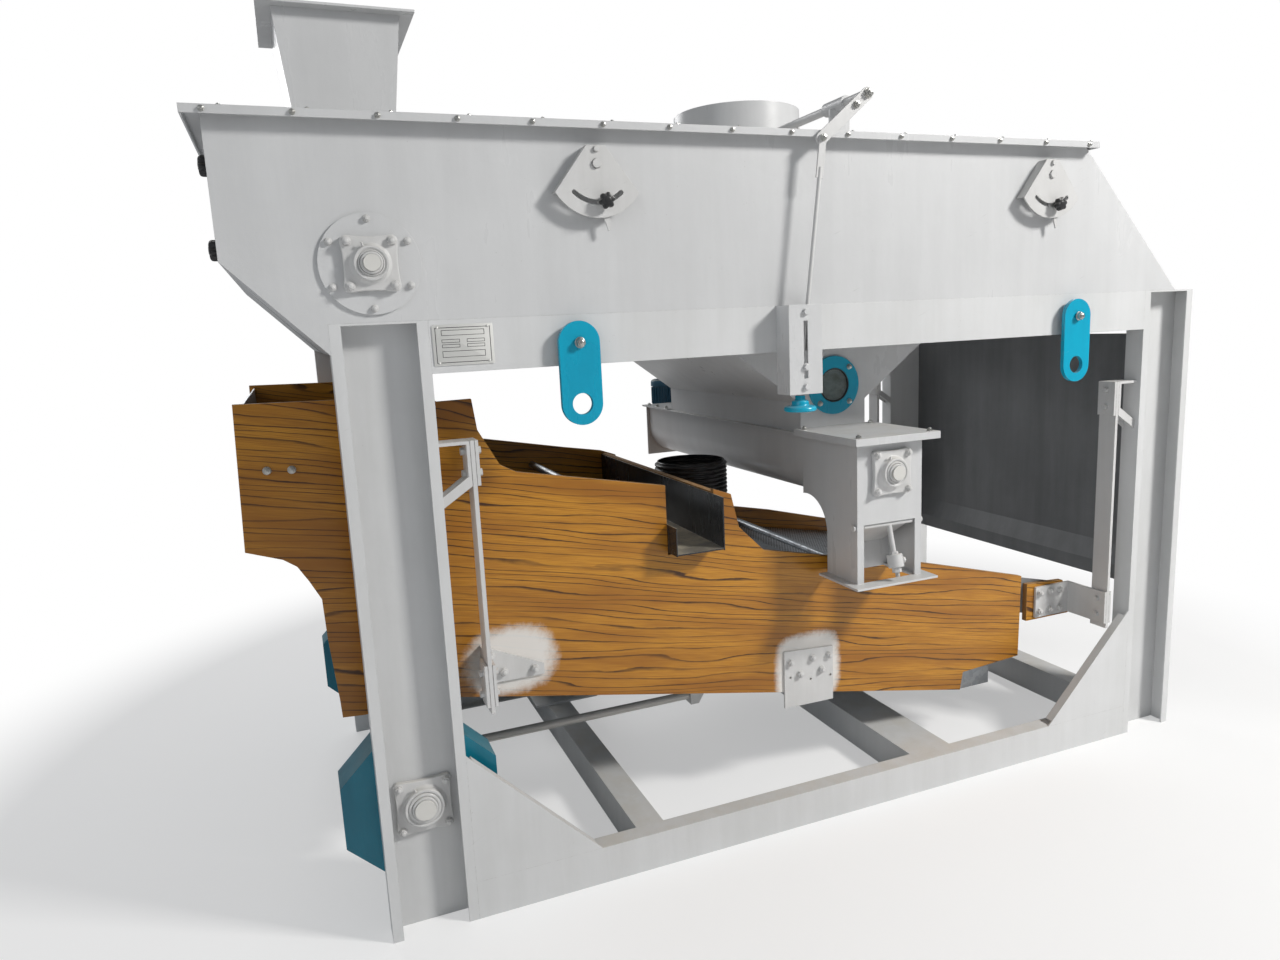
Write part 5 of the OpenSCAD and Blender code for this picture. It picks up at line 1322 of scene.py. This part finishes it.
@dataclass
class StarKnob:
    """Moulded star grip on a threaded stud."""

    node: str
    body: Body
    way: Way

    def build(self, shop: Shop) -> None:
        """Moulds the grip where its CAD node is.

        Args:
            shop: Where forms become pieces.
        """
        low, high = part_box(self.node)
        aim = self.way.value
        size = high - low
        axis = max(range(3), key=lambda k: abs(aim[k]))
        across = max(size[k] for k in range(3) if k != axis) / MM
        tall = across * (0.56 if self.way is Way.LEFT else 0.58)
        tip = (low + high) / 2
        tip[axis] = low[axis]
        base = tip - aim * tall * MM
        here = facing(base, aim)
        levels = [(0.24, 0.80), (0.29, 0.93), (0.38, 0.99), (0.52, 1.0), (0.70, 1.0), (0.84, 0.965),
                  (0.93, 0.88), (0.98, 0.76), (1.0, 0.60)]
        grip = Form.lobed(across / 2, 6, 0.24, [(height * tall, scale) for height, scale in levels])
        made = Form().stamp(grip, facing(base, aim, 15.0))
        neck = 0.3 * across
        foot = [(0.0, 0.0), (neck, 0.0), (neck, 0.14 * tall), (neck * 0.86, 0.3 * tall), (0.0, 0.3 * tall)]
        made.stamp(Form.turned(foot, 32), here)
        cap = [(0.0, 0.97 * tall), (neck * 0.62, 0.97 * tall), (neck * 0.62, 1.02 * tall),
               (neck * 0.5, 1.04 * tall), (0.0, tall)]
        made.stamp(Form.turned(cap, 32), here)
        shop.keep(made, "grip_" + self.node, Slot.KNOB, self.body, (self.node,), 40.0)
        reach = (high[axis] - base[axis]) / MM
        stud = Form.turned([(0.0, 0.0), (3.9, 0.0), (4.9, 1.0), (4.9, reach + 1.0), (0.0, reach + 1.0)], 24)
        stud_place = facing(base - aim * reach * MM, aim)
        shop.keep(Form().stamp(stud, stud_place), "stud_" + self.node, Slot.ZINC, self.body)


@dataclass
class HandWheel:
    """Dished wheel of the valve's stem, with its nut and thread."""

    x: float = 1132.0
    y: float = -31.0
    foot: float = 1194.0

    def build(self, shop: Shop) -> None:
        """Turns the wheel, its nut and its threaded stem.

        Args:
            shop: Where forms become pieces.
        """
        here = Matrix.Translation(at(self.x, self.y, self.foot))
        rim = [(8.1, 0.0), (13.0, 0.0), (16.0, 2.0), (30.0, 2.5), (34.0, 0.4), (39.0, 1.0), (41.6, 3.6),
               (42.0, 8.0), (40.0, 12.6), (36.0, 14.4), (30.0, 14.0), (25.0, 15.0), (22.8, 17.0),
               (22.0, 20.0), (22.0, 25.5), (20.4, 28.2), (15.0, 29.6), (13.2, 32.0), (12.8, 39.6),
               (11.0, 42.0), (8.1, 42.0)]
        wheel = Form.turned(rim, 72)
        shop.keep(Form().stamp(wheel, here), "hand_wheel", Slot.TEAL, Body.HANDWHEEL, ("handwheel",), 50.0)
        steel = Form()
        steel.stamp(Form.prism(6, 14.0, 9.0, 1.4), here @ shift(0.0, 0.0, 52.0))
        steel.stamp(Form.tube(0.0, 11.5, 42.0, 43.4, 32), here)
        line = [(0.0, 14.0), (7.2, 14.0)]
        for turn in range(25):
            line += [(7.2, 16.0 + 3.0 * turn), (8.0, 17.2 + 3.0 * turn), (8.0, 17.8 + 3.0 * turn)]
        line += [(6.0, 92.0), (0.0, 92.0)]
        steel.stamp(Form.turned(line, 24), here)
        shop.keep(steel, "stem_nut", Slot.ZINC, Body.HANDWHEEL)


@dataclass
class SightRing:
    """Ring that holds the sight glass on the hopper."""

    x: float = 1438.0
    z: float = 1228.0
    seat: float = 275.0
    bolt_circle: float = 73.9

    def build(self, shop: Shop) -> None:
        """Turns the ring and its gasket and sets its bolts.

        Args:
            shop: Where forms become pieces.
        """
        here = facing(at(self.x, self.seat, self.z), Way.FRONT)
        ring = Form.turned([(62.1, 0.0), (88.0, 0.0), (88.0, 7.6), (86.6, 9.0), (52.6, 9.0), (51.0, 7.6),
                            (51.0, 5.1), (62.1, 5.1)], 96)
        shop.keep(Form().stamp(ring, here), "glass_ring", Slot.TEAL, Body.MACHINE, ("sight_ring",))
        gasket = Form.turned([(46.6, 4.9), (50.95, 4.9), (50.95, 8.4), (49.6, 9.4), (47.6, 8.6),
                              (46.6, 7.0)], 96)
        shop.keep(Form().stamp(gasket, here), "glass_gasket", Slot.RUBBER, Body.MACHINE)
        bolts = Form()
        for quarter in range(4):
            angle = math.radians(45.0 + 90.0 * quarter)
            spot = at(self.x + self.bolt_circle * math.cos(angle), self.seat - 9.0,
                      self.z + self.bolt_circle * math.sin(angle))
            bolts.stamp(Fastener().form(), facing(spot, Way.FRONT, 20.0 * quarter) @ Matrix.Scale(8.0, 4))
        shop.keep(bolts, "glass_ring_bolts", Slot.ZINC, Body.MACHINE)


@dataclass
class NamePlate:
    """Blank data plate with a raised border, empty fields and four rivets."""

    x: float = 282.0
    z: float = 1409.0
    wide: float = 136.0
    high: float = 90.0
    corner: float = 4.0

    @staticmethod
    def _frame(wide: float, high: float, line: float, thick: float) -> Form:
        """Raised rectangular line.

        Args:
            wide: Outer width.
            high: Outer height.
            line: Width of the line.
            thick: Height of the line.

        Returns:
            The form.
        """
        made = Form()
        for side in (-1.0, 1.0):
            made.stamp(Form.block(wide, line, thick, 0.12, 1), shift(0.0, side * (high - line) / 2, 0.0))
            made.stamp(Form.block(line, high - 2 * line, thick, 0.12, 1),
                       shift(side * (wide - line) / 2, 0.0, 0.0))
        return made

    def build(self, shop: Shop) -> None:
        """Makes the plate, its printed lines and its rivets.

        Args:
            shop: Where forms become pieces.
        """
        here = facing(at(self.x, 0.0, self.z), Way.FRONT)
        corners = []
        for quarter in range(4):
            wide, high = (self.wide, self.high) if quarter % 2 == 0 else (self.high, self.wide)
            for step in range(5):
                angle = math.radians(22.5 * step)
                x = wide / 2 - self.corner * (1.0 - math.cos(angle))
                y = high / 2 - self.corner * (1.0 - math.sin(angle))
                corners.append(quarter_turned(x, y, quarter))
        plate = Form().stamp(Form.plate(corners, 2.0, 0.3), here)
        rivet = Form.turned([(0.0, 0.0), (3.0, 0.0), (2.8, 0.9), (2.0, 1.7), (0.9, 2.1), (0.0, 2.2)], 20)
        for x in (-1.0, 1.0):
            for y in (-1.0, 1.0):
                plate.stamp(rivet, here @ shift(x * (self.wide / 2 - 12.0), y * (self.high / 2 - 6.0), 1.9))
        shop.keep(plate, "blank_plate", Slot.PLATE, Body.MACHINE, ("name_plate",))
        printed = here @ shift(0.0, 0.0, 1.98)
        lines = Form().stamp(self._frame(self.wide - 13.0, self.high - 12.0, 1.3, 0.35), printed)
        fields = [(0.0, 27.0, 96.0, 12.0), (0.0, -20.0, 96.0, 14.0)]
        fields += [(x, y, 40.0, 7.5) for y in (9.0, -2.0) for x in (-28.0, 28.0)]
        for x, y, wide, high in fields:
            lines.stamp(self._frame(wide, high, 1.0, 0.3), printed @ shift(x, y, 0.0))
        shop.keep(lines, "blank_plate_lines", Slot.KNOB, Body.MACHINE)


@dataclass
class SuctionSleeve:
    """Corrugated sleeve on the boat, with its clamp band."""

    x: float = 1150.0
    y: float = 700.0
    low: float = 725.0
    high: float = 975.0
    bore: float = 110.05
    pitch: float = 14.0

    def build(self, shop: Shop) -> None:
        """Turns the sleeve and wraps the clamp round its foot.

        Args:
            shop: Where forms become pieces.
        """
        here = Matrix.Translation(at(self.x, self.y, self.low))
        tall = self.high - self.low
        outer = [(113.4, 0.0), (113.8, 20.0)]
        inner = []
        rings = int((tall - 24.0) / self.pitch)
        for ring in range(rings):
            foot = 22.0 + ring * self.pitch
            outer += [(114.2, foot), (119.4, foot + 0.8), (122.0, foot + 2.6), (122.8, foot + 5.2),
                      (122.0, foot + 7.8), (119.4, foot + 9.6), (114.2, foot + 10.4)]
            inner += [(110.4, foot), (116.4, foot + 3.0), (118.2, foot + 5.2), (116.4, foot + 7.4),
                      (110.4, foot + 10.4)]
        outer += [(113.8, tall - 1.0), (112.0, tall)]
        line = outer + [(self.bore, tall - 0.6)] + inner[::-1] + [(self.bore, 0.0)]
        shop.keep(Form().stamp(Form.turned(line, 96), here), "ribbed_sleeve", Slot.RUBBER, Body.BOAT,
                  ("suction_sleeve",), 60.0)
        band = Form().stamp(Form.tube(113.9, 115.2, 4.0, 16.0, 96), here)
        housing = Form.block(20.0, 12.0, 14.0, 2.5, 3)
        band.stamp(housing, here @ shift(0.0, -120.0, 3.0))
        screw = Form.turned([(0.0, 0.0), (2.6, 0.0), (2.6, 26.0), (4.2, 26.0), (4.2, 32.0), (0.0, 32.0)], 12)
        band.stamp(screw, facing(at(self.x - 14.0, self.y - 121.0, self.low + 10.0), Way.RIGHT))
        shop.keep(band, "sleeve_clamp", Slot.ZINC, Body.BOAT)


@dataclass
class Motor:
    """Finned motor with its end bell, fan cowl and terminal box; its shaft end is up."""

    length: float
    radius: float
    fins: int = 30

    def form(self) -> Form:
        """Barrel, fins, bell and cowl, with the fan end at the origin.

        Returns:
            The motor without its box.
        """
        barrel = self.radius * 0.86
        cowl = 0.24 * self.length
        bell = 0.13 * self.length
        end = self.length - bell
        made = Form.tube(0.0, barrel, cowl - 3.0, end, 64)
        fin = Form.block(3.0, self.radius * 0.18, end - cowl - 8.0, 0.7, 1)
        for index in range(self.fins):
            turn = Matrix.Rotation(math.tau * index / self.fins, 4, "Z")
            made.stamp(fin, turn @ shift(0.0, barrel + self.radius * 0.045, cowl + 4.0))
        dome = [(0.0, end - 1.0), (self.radius * 0.97, end - 1.0), (self.radius, end + 3.0),
                (self.radius, end + bell * 0.45), (self.radius * 0.92, end + bell * 0.7),
                (self.radius * 0.5, self.length - 3.0), (self.radius * 0.4, self.length), (0.0, self.length)]
        made.stamp(Form.turned(dome, 64))
        grille = [(0.0, 2.0)]
        for ring in range(5):
            middle = self.radius * (0.2 + 0.13 * ring)
            grille += [(middle - 2.4, 2.0), (middle - 2.0, 0.0), (middle + 2.0, 0.0), (middle + 2.4, 2.0)]
        grille += [(self.radius * 0.86, 2.0), (self.radius * 0.95, 5.0), (self.radius, 12.0),
                   (self.radius, cowl), (self.radius - 2.0, cowl), (0.0, cowl)]
        return made.stamp(Form.turned(grille, 64))

    def box(self) -> Form:
        """Terminal box with its lid, lid screws and blind gland; it stands on the barrel along +Y.

        Returns:
            The box.
        """
        side, lid_side = self.radius * 0.95, self.radius * 1.02
        made = Form.block(side, self.radius * 0.5, side, 3.0, 3)
        lid = Form.block(lid_side, self.radius * 0.1, lid_side, 2.0, 2)
        made.stamp(lid, shift(0.0, self.radius * 0.28, -self.radius * 0.035))
        screw = Form.turned([(0.0, 0.0), (3.2, 0.0), (3.2, 1.6), (2.4, 2.6), (0.0, 2.6)], 12)
        for x in (-1.0, 1.0):
            for z in (0.07, 0.88):
                spot = Vector((x * self.radius * 0.42, self.radius * 0.325, z * self.radius)) * MM
                made.stamp(screw, facing(spot, Way.REAR))
        gland = Form.prism(6, self.radius * 0.17, self.radius * 0.14, 1.2)
        spot = Vector((-self.radius * 0.47, 0.0, self.radius * 0.45)) * MM
        return made.stamp(gland, facing(spot, Way.LEFT))


@dataclass
class Drives:
    """Drive motor in the frame and the two geared motors on the shaft ends."""

    belt_axis: Vector = field(default_factory=lambda: at(720.0, 0.0, 220.0))
    belt_radius: float = 96.0
    # Place of each gearbox's seat, tilt of its motor and turn of the terminal box
    geared: tuple[tuple[float, ...], ...] = ((98.0, 1306.0, 1587.0, 90.0, 0.0),
                                             (1438.0, 1505.0, 1000.0, 0.0, -90.0))
    gear_face: float = 140.0
    gear_middle: float = 92.5

    def build(self, shop: Shop) -> None:
        """Builds the three motors over their CAD forms."""
        self._drive(shop)
        self._geared(shop)

    def _drive(self, shop: Shop) -> None:
        """Motor that drives the belt, on its feet.

        Args:
            shop: Where forms become pieces.
        """
        low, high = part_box("drive_motor")
        motor = Motor((high.y - low.y) / MM, self.belt_radius, 34)
        base = Vector((self.belt_axis.x, low.y, self.belt_axis.z))
        made = Form().stamp(motor.form(), facing(base, Way.REAR))
        upright = Matrix.Rotation(math.radians(90.0), 4, "X")
        saddle = Matrix.Translation(base) @ shift(0.0, 140.0, 106.0)
        made.stamp(motor.box(), saddle @ upright @ shift(0.0, 0.0, -45.0))
        ground = Matrix.Translation(Vector((base.x, low.y, low.z)))
        for side in (-1.0, 1.0):
            made.stamp(Form.block(50.0, 127.0, 14.0, 3.0, 2), ground @ shift(side * 85.0, 123.0, 0.0))
            made.stamp(Form.block(12.0, 127.0, 66.0, 3.0, 2), ground @ shift(side * 66.0, 123.0, 2.0))
        shop.keep(made, "belt_motor", Slot.MOTOR, Body.MACHINE, ("drive_motor",), 40.0)

    def _geared(self, shop: Shop) -> None:
        """Gearboxes with their flanged motors.

        Args:
            shop: Where forms become pieces.
        """
        made = Form()
        case = Form.block(120.0, 100.0, 135.0, 9.0, 4)
        foot = Form.block(40.0, 41.0, 10.0, 1.5, 2)
        cap = Form.turned([(0.0, 0.0), (40.0, 0.0), (40.0, 3.0), (36.0, 5.0), (28.0, 5.0), (26.0, 3.0),
                           (0.0, 3.0)], 48)
        flange = Form.turned([(0.0, 58.0), (50.0, 58.0), (52.0, 60.0), (52.0, 70.0), (50.0, 72.0),
                              (0.0, 72.0)], 48)
        motor = Motor(126.0, 50.0, 24)
        flip = shift(0.0, 0.0, 196.0) @ Matrix.Rotation(math.pi, 4, "X")
        for x, y, z, turn, aside in self.geared:
            seat = Matrix.Translation(at(x, y, z))
            made.stamp(case, seat @ shift(0.0, 90.0, -75.0))
            made.stamp(foot, seat @ shift(0.0, 20.5, -75.0))
            made.stamp(cap, facing(at(x, y + self.gear_face, z), Way.REAR))
            for quarter in range(4):
                angle = math.radians(45.0 + 90.0 * quarter)
                spot = at(x + 50.0 * math.cos(angle), y + self.gear_face, z - 7.5 + 58.0 * math.sin(angle))
                made.stamp(Form.prism(6, 5.5, 4.0, 0.6), facing(spot, Way.REAR, 11.0 * quarter))
            tilted = seat @ shift(0.0, self.gear_middle, 0.0) @ Matrix.Rotation(math.radians(turn), 4, "Y")
            made.stamp(flange, tilted)
            made.stamp(motor.form(), tilted @ flip)
            swing = Matrix.Rotation(math.radians(aside), 4, "Z")
            made.stamp(motor.box(), tilted @ swing @ shift(0.0, 52.0, 110.0) @ Matrix.Scale(0.9, 4))
        shop.keep(made, "geared_motors", Slot.MOTOR, Body.MACHINE, ("gearmotors",), 40.0)


@dataclass
class BoatBolts:
    """Plated bolts of the boat's panels and painted ones of its brackets, over the CAD's plain heads."""

    depth: float = 1300.0
    grown: float = 1.16
    panel_face: float = 170.0
    clamp_thick: float = 8.0
    plate_thick: float = 6.0

    @staticmethod
    def _low(x: float) -> float:
        """Height of the boat's lower edge at a place along the machine."""
        return 514.0 - 0.192 * (x - 231.0)

    def _spots(self) -> list[tuple[float, float, float, float]]:
        """Works out the bolts of the front side.

        Returns:
            X, distance from the front, height and thread of each.
        """
        spots = [(x, self.panel_face, z, 8.0) for x, z in ((-158.0, 1145.0), (-105.0, 1142.0))]
        clamp = self.panel_face - self.clamp_thick
        spots += [(x, clamp, z, 10.0) for x, z in ((316.5, 612.3), (347.7, 563.5), (429.7, 557.1))]
        for x in (2263.1, 2218.1, 2173.1):
            spots += [(x, clamp, 453.05 + side * 31.8, 10.0) for side in (-1.0, 1.0)]
        for x, rise in ((1206.0, 96.0), (1282.0, 112.0), (1340.0, 122.0), (1238.0, 60.0), (1314.0, 76.0)):
            spots.append((x, self.panel_face - self.plate_thick, self._low(x) + rise, 10.0))
        return spots

    def build(self, shop: Shop) -> None:
        """Sets the bolts on both sides.

        Args:
            shop: Where forms become pieces.
        """
        one = Fastener().form()
        panel, bracket = Form(), Form()
        for index, (x, y, z, thread) in enumerate(self._spots()):
            size = Matrix.Scale(thread * self.grown, 4)
            made = panel if x < 0.0 else bracket
            made.stamp(one, facing(at(x, y, z), Way.FRONT, 23.0 * index) @ size)
            made.stamp(one, facing(at(x, self.depth - y, z), Way.REAR, 31.0 * index) @ size)
        shop.keep(panel, "panel_bolts", Slot.ZINC, Body.BOAT)
        shop.keep(bracket, "bracket_bolts", Slot.FITTING, Body.BOAT)


@dataclass
class LeverBolts:
    """Bolts on the valve's lever: its shaft end, the clamp beside it and the link's pin."""

    shaft: tuple[float, float] = (1332.0, 1978.0)
    clamp: tuple[float, float] = (1297.2, 1949.4)
    pin: tuple[float, float] = (1196.8, 1866.9)
    face: float = -46.0
    link_face: float = -50.95

    def build(self, shop: Shop) -> None:
        """Sets the three bolts.

        Args:
            shop: Where forms become pieces.
        """
        one = Fastener().form()
        made = Form()
        for (x, z), y, thread in ((self.shaft, self.face, 12.0), (self.clamp, self.face, 9.0),
                                  (self.pin, self.link_face, 8.5)):
            made.stamp(one, facing(at(x, y, z), Way.FRONT, x) @ Matrix.Scale(thread, 4))
        shop.keep(made, "lever_bolts", Slot.ZINC, Body.VALVE)


@dataclass
class Flap:
    """Flap of the discharge head with its hinge pin and the weighted lever."""

    pivot: Vector = field(default_factory=lambda: at(1438.0, 12.0, 848.0))
    half: float = 82.0
    pin_half: float = 118.0
    long: float = 153.8
    fall: float = 32.0
    lean: float = 16.0
    drop: float = 152.0
    aside: float = 6.0
    collars: tuple[float, float] = (-117.0, 110.0)

    def build(self, shop: Shop) -> None:
        """Builds the flap and its lever.

        Args:
            shop: Where forms become pieces.
        """
        here = Matrix.Translation(self.pivot)
        plate = Form()
        end = 2 * self.pin_half
        pin = [(0.0, 0.0), (4.2, 0.0), (5.0, 0.8), (5.0, end - 0.8), (4.2, end), (0.0, end)]
        across = Way.RIGHT.value
        plate.stamp(Form.turned(pin, 24), facing(self.pivot - across * self.pin_half * MM, across))
        collar = Form.turned([(5.0, 0.0), (8.2, 0.0), (9.0, 0.8), (9.0, 6.2), (8.2, 7.0), (5.0, 7.0)], 32)
        for start in self.collars:
            plate.stamp(collar, facing(self.pivot + across * start * MM, across))
        wide = 2 * self.half
        tube = [(5.0, 0.0), (7.0, 0.0), (7.5, 0.5), (7.5, wide - 0.5), (7.0, wide), (5.0, wide)]
        plate.stamp(Form.turned(tube, 32), facing(self.pivot - across * self.half * MM, across))
        tilt = here @ Matrix.Rotation(math.radians(-self.fall), 4, "X")
        sheet = Form.block(wide, self.long, 2.0, 0.5, 2)
        plate.stamp(sheet, tilt @ shift(0.0, self.long / 2, -1.0))
        shop.keep(plate, "flap_plate", Slot.FITTING, Body.FLAP, ("discharge_flap",))
        arm = here @ Matrix.Rotation(math.radians(-self.lean), 4, "X") @ shift(self.aside, 0.0, -self.drop)
        lever = Form()
        rod = [(0.0, 0.0), (5.6, 0.0)]
        for turn in range(8):
            rod += [(5.8, 0.6 + 1.5 * turn), (6.6, 1.3 + 1.5 * turn)]
        rod += [(7.0, 14.0), (7.0, 147.0), (6.2, 148.0), (0.0, 148.0)]
        lever.stamp(Form.turned(rod, 24), arm)
        lever.stamp(Form.prism(6, 13.0, 13.6, 1.6), arm @ shift(0.0, 0.0, 12.2))
        drum = [(7.0, 26.0), (20.0, 26.0), (22.0, 28.0), (22.0, 62.0), (20.0, 64.0), (7.0, 64.0)]
        lever.stamp(Form.turned(drum, 56), arm)
        lever.stamp(Form.prism(6, 12.0, 7.0, 1.4), arm @ shift(0.0, 0.0, 64.1))
        side = Form.prism(6, 9.0, 7.0, 1.2)
        outward = Vector((0.96, -0.28, 0.0)).normalized()
        lever.stamp(side, arm @ facing(Vector((20.8, -6.0, 45.0)) * MM, outward))
        shop.keep(lever, "flap_lever", Slot.FITTING, Body.FLAP)


def build_pieces(shop: Shop, nodes: dict[str, bpy.types.Object]) -> None:
    """Builds every piece that is finer than its CAD form.

    Args:
        shop: Where forms become pieces.
        nodes: The CAD nodes by name.
    """
    knobs = (("door_knob_upper", Body.UPPER_KNOB, Way.LEFT), ("door_knob_lower", Body.LOWER_KNOB, Way.LEFT),
             ("inlet_damper_knob", Body.INLET_KNOB, Way.FRONT),
             ("outlet_damper_knob", Body.OUTLET_KNOB, Way.FRONT))
    for assembly in (Fasteners(nodes["bolts"]), Bearings(), *(StarKnob(*knob) for knob in knobs), HandWheel(),
                     SightRing(), NamePlate(), SuctionSleeve(), Drives(), BoatBolts(), LeverBolts(), Flap()):
        assembly.build(shop)


class Studio:
    """Floor, lamps, world and camera."""

    place = at(-82.07, -1981.43, 1432.25)
    right = Vector((0.9278, -0.3701, -0.0465))
    down = Vector((-0.1070, -0.1448, -0.9837))
    ahead = Vector((0.3573, 0.9176, -0.1740))
    lens = 24.565
    near_floor = 1.7
    far_floor = 3.0
    floor_lift = 0.4

    def camera(self) -> None:
        """Camera where the photograph was taken from."""
        data = bpy.data.cameras.new("view")
        data.lens = self.lens
        data.sensor_width = 36.0
        data.clip_end = 60.0
        body = put("view", data)
        turn = Matrix((self.right, -self.down, -self.ahead)).transposed()
        body.matrix_world = Matrix.Translation(self.place) @ turn.to_4x4()
        bpy.context.scene.camera = body

    def floor(self) -> None:
        """Pale floor that takes the machine's shadow."""
        mesh = bmesh.new()
        bmesh.ops.create_grid(mesh, x_segments=1, y_segments=1, size=14.0)
        data = bpy.data.meshes.new("floor")
        mesh.to_mesh(data)
        mesh.free()
        body = put("floor", data)
        made = bpy.data.materials.new("pale_floor")
        made.use_nodes = True
        graph = Graph(made.node_tree)
        shader = made.node_tree.nodes["Principled BSDF"]
        here = graph.add("ShaderNodeTexCoord").outputs["Object"]
        cloud = graph.noise(here, 0.8, 4.0)
        pale = graph.blend(cloud, shade(236, 236, 236), shade(243, 243, 243))
        graph.feed(shader.inputs["Base Color"], pale)
        shader.inputs["Roughness"].default_value = 0.9
        far = graph.span(graph.vector("LENGTH", here, out="Value"), self.near_floor, self.far_floor)
        path = graph.add("ShaderNodeLightPath")
        glow = graph.add("ShaderNodeEmission")
        glow.inputs["Color"].default_value = (1.0, 1.0, 1.0, 1.0)
        mixed = graph.add("ShaderNodeMixShader")
        lifted = graph.math("MAXIMUM", far, self.floor_lift)
        graph.feed(mixed.inputs[0], graph.times(lifted, path.outputs["Is Camera Ray"]))
        graph.feed(mixed.inputs[1], shader.outputs[0])
        graph.feed(mixed.inputs[2], glow.outputs[0])
        graph.feed(made.node_tree.nodes["Material Output"].inputs["Surface"], mixed.outputs[0])
        data.materials.append(made)

    def world(self) -> None:
        """Even studio surroundings, white where the camera sees them."""
        world = bpy.data.worlds.new("studio")
        bpy.context.scene.world = world
        world.use_nodes = True
        graph = Graph(world.node_tree)
        plain = world.node_tree.nodes["Background"]
        plain.inputs["Color"].default_value = (0.93, 0.96, 1.0, 1.0)
        plain.inputs["Strength"].default_value = 0.26
        seen = graph.add("ShaderNodeBackground")
        seen.inputs["Color"].default_value = (1.0, 1.0, 1.0, 1.0)
        seen.inputs["Strength"].default_value = 1.0
        path = graph.add("ShaderNodeLightPath")
        either = graph.math("MAXIMUM", path.outputs["Is Camera Ray"], path.outputs["Is Transmission Ray"])
        mixed = graph.add("ShaderNodeMixShader")
        graph.feed(mixed.inputs[0], either)
        graph.feed(mixed.inputs[1], plain.outputs[0])
        graph.feed(mixed.inputs[2], seen.outputs[0])
        graph.feed(world.node_tree.nodes["World Output"].inputs["Surface"], mixed.outputs[0])

    @staticmethod
    def lamp(name: str, place: Vector, aim: Vector, size: float, power: float,
             colour: tuple[float, float, float]) -> None:
        """Soft square lamp.

        Args:
            name: Name of the lamp.
            place: Where it hangs.
            aim: Point it faces.
            size: Side of the lamp.
            power: Power in watts.
            colour: Colour of its light.
        """
        data = bpy.data.lights.new(name, "AREA")
        data.size = size
        data.energy = power
        data.color = colour
        body = put(name, data)
        turn = (aim - place).to_track_quat("-Z", "Y").to_matrix()
        body.matrix_world = Matrix.Translation(place) @ turn.to_4x4()

    def build(self) -> None:
        """Sets the whole studio."""
        self.camera()
        self.floor()
        self.world()
        middle = Vector((0.0, 0.0, 0.9))
        self.lamp("key", Vector((3.5, -3.9, 4.3)), middle, 0.9, 320.0, (1.0, 0.98, 0.95))
        self.lamp("fill", Vector((-4.2, -3.2, 2.6)), middle, 2.5, 27.0, (0.95, 0.98, 1.0))
        self.lamp("back", Vector((-1.5, 4.8, 3.8)), middle, 3.0, 110.0, (1.0, 1.0, 1.0))
        bpy.context.scene.view_settings.view_transform = "Standard"


def main() -> None:
    """Builds the finishes, the pieces and the studio round the CAD frame."""
    logging.basicConfig(level=logging.INFO, format="%(name)s: %(message)s")
    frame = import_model()
    finishes = Finishes()
    finishes.dress_nodes(frame)
    build_pieces(Shop(finishes), frame["nodes"])
    Studio().build()


if __name__ == "__main__":
    main()
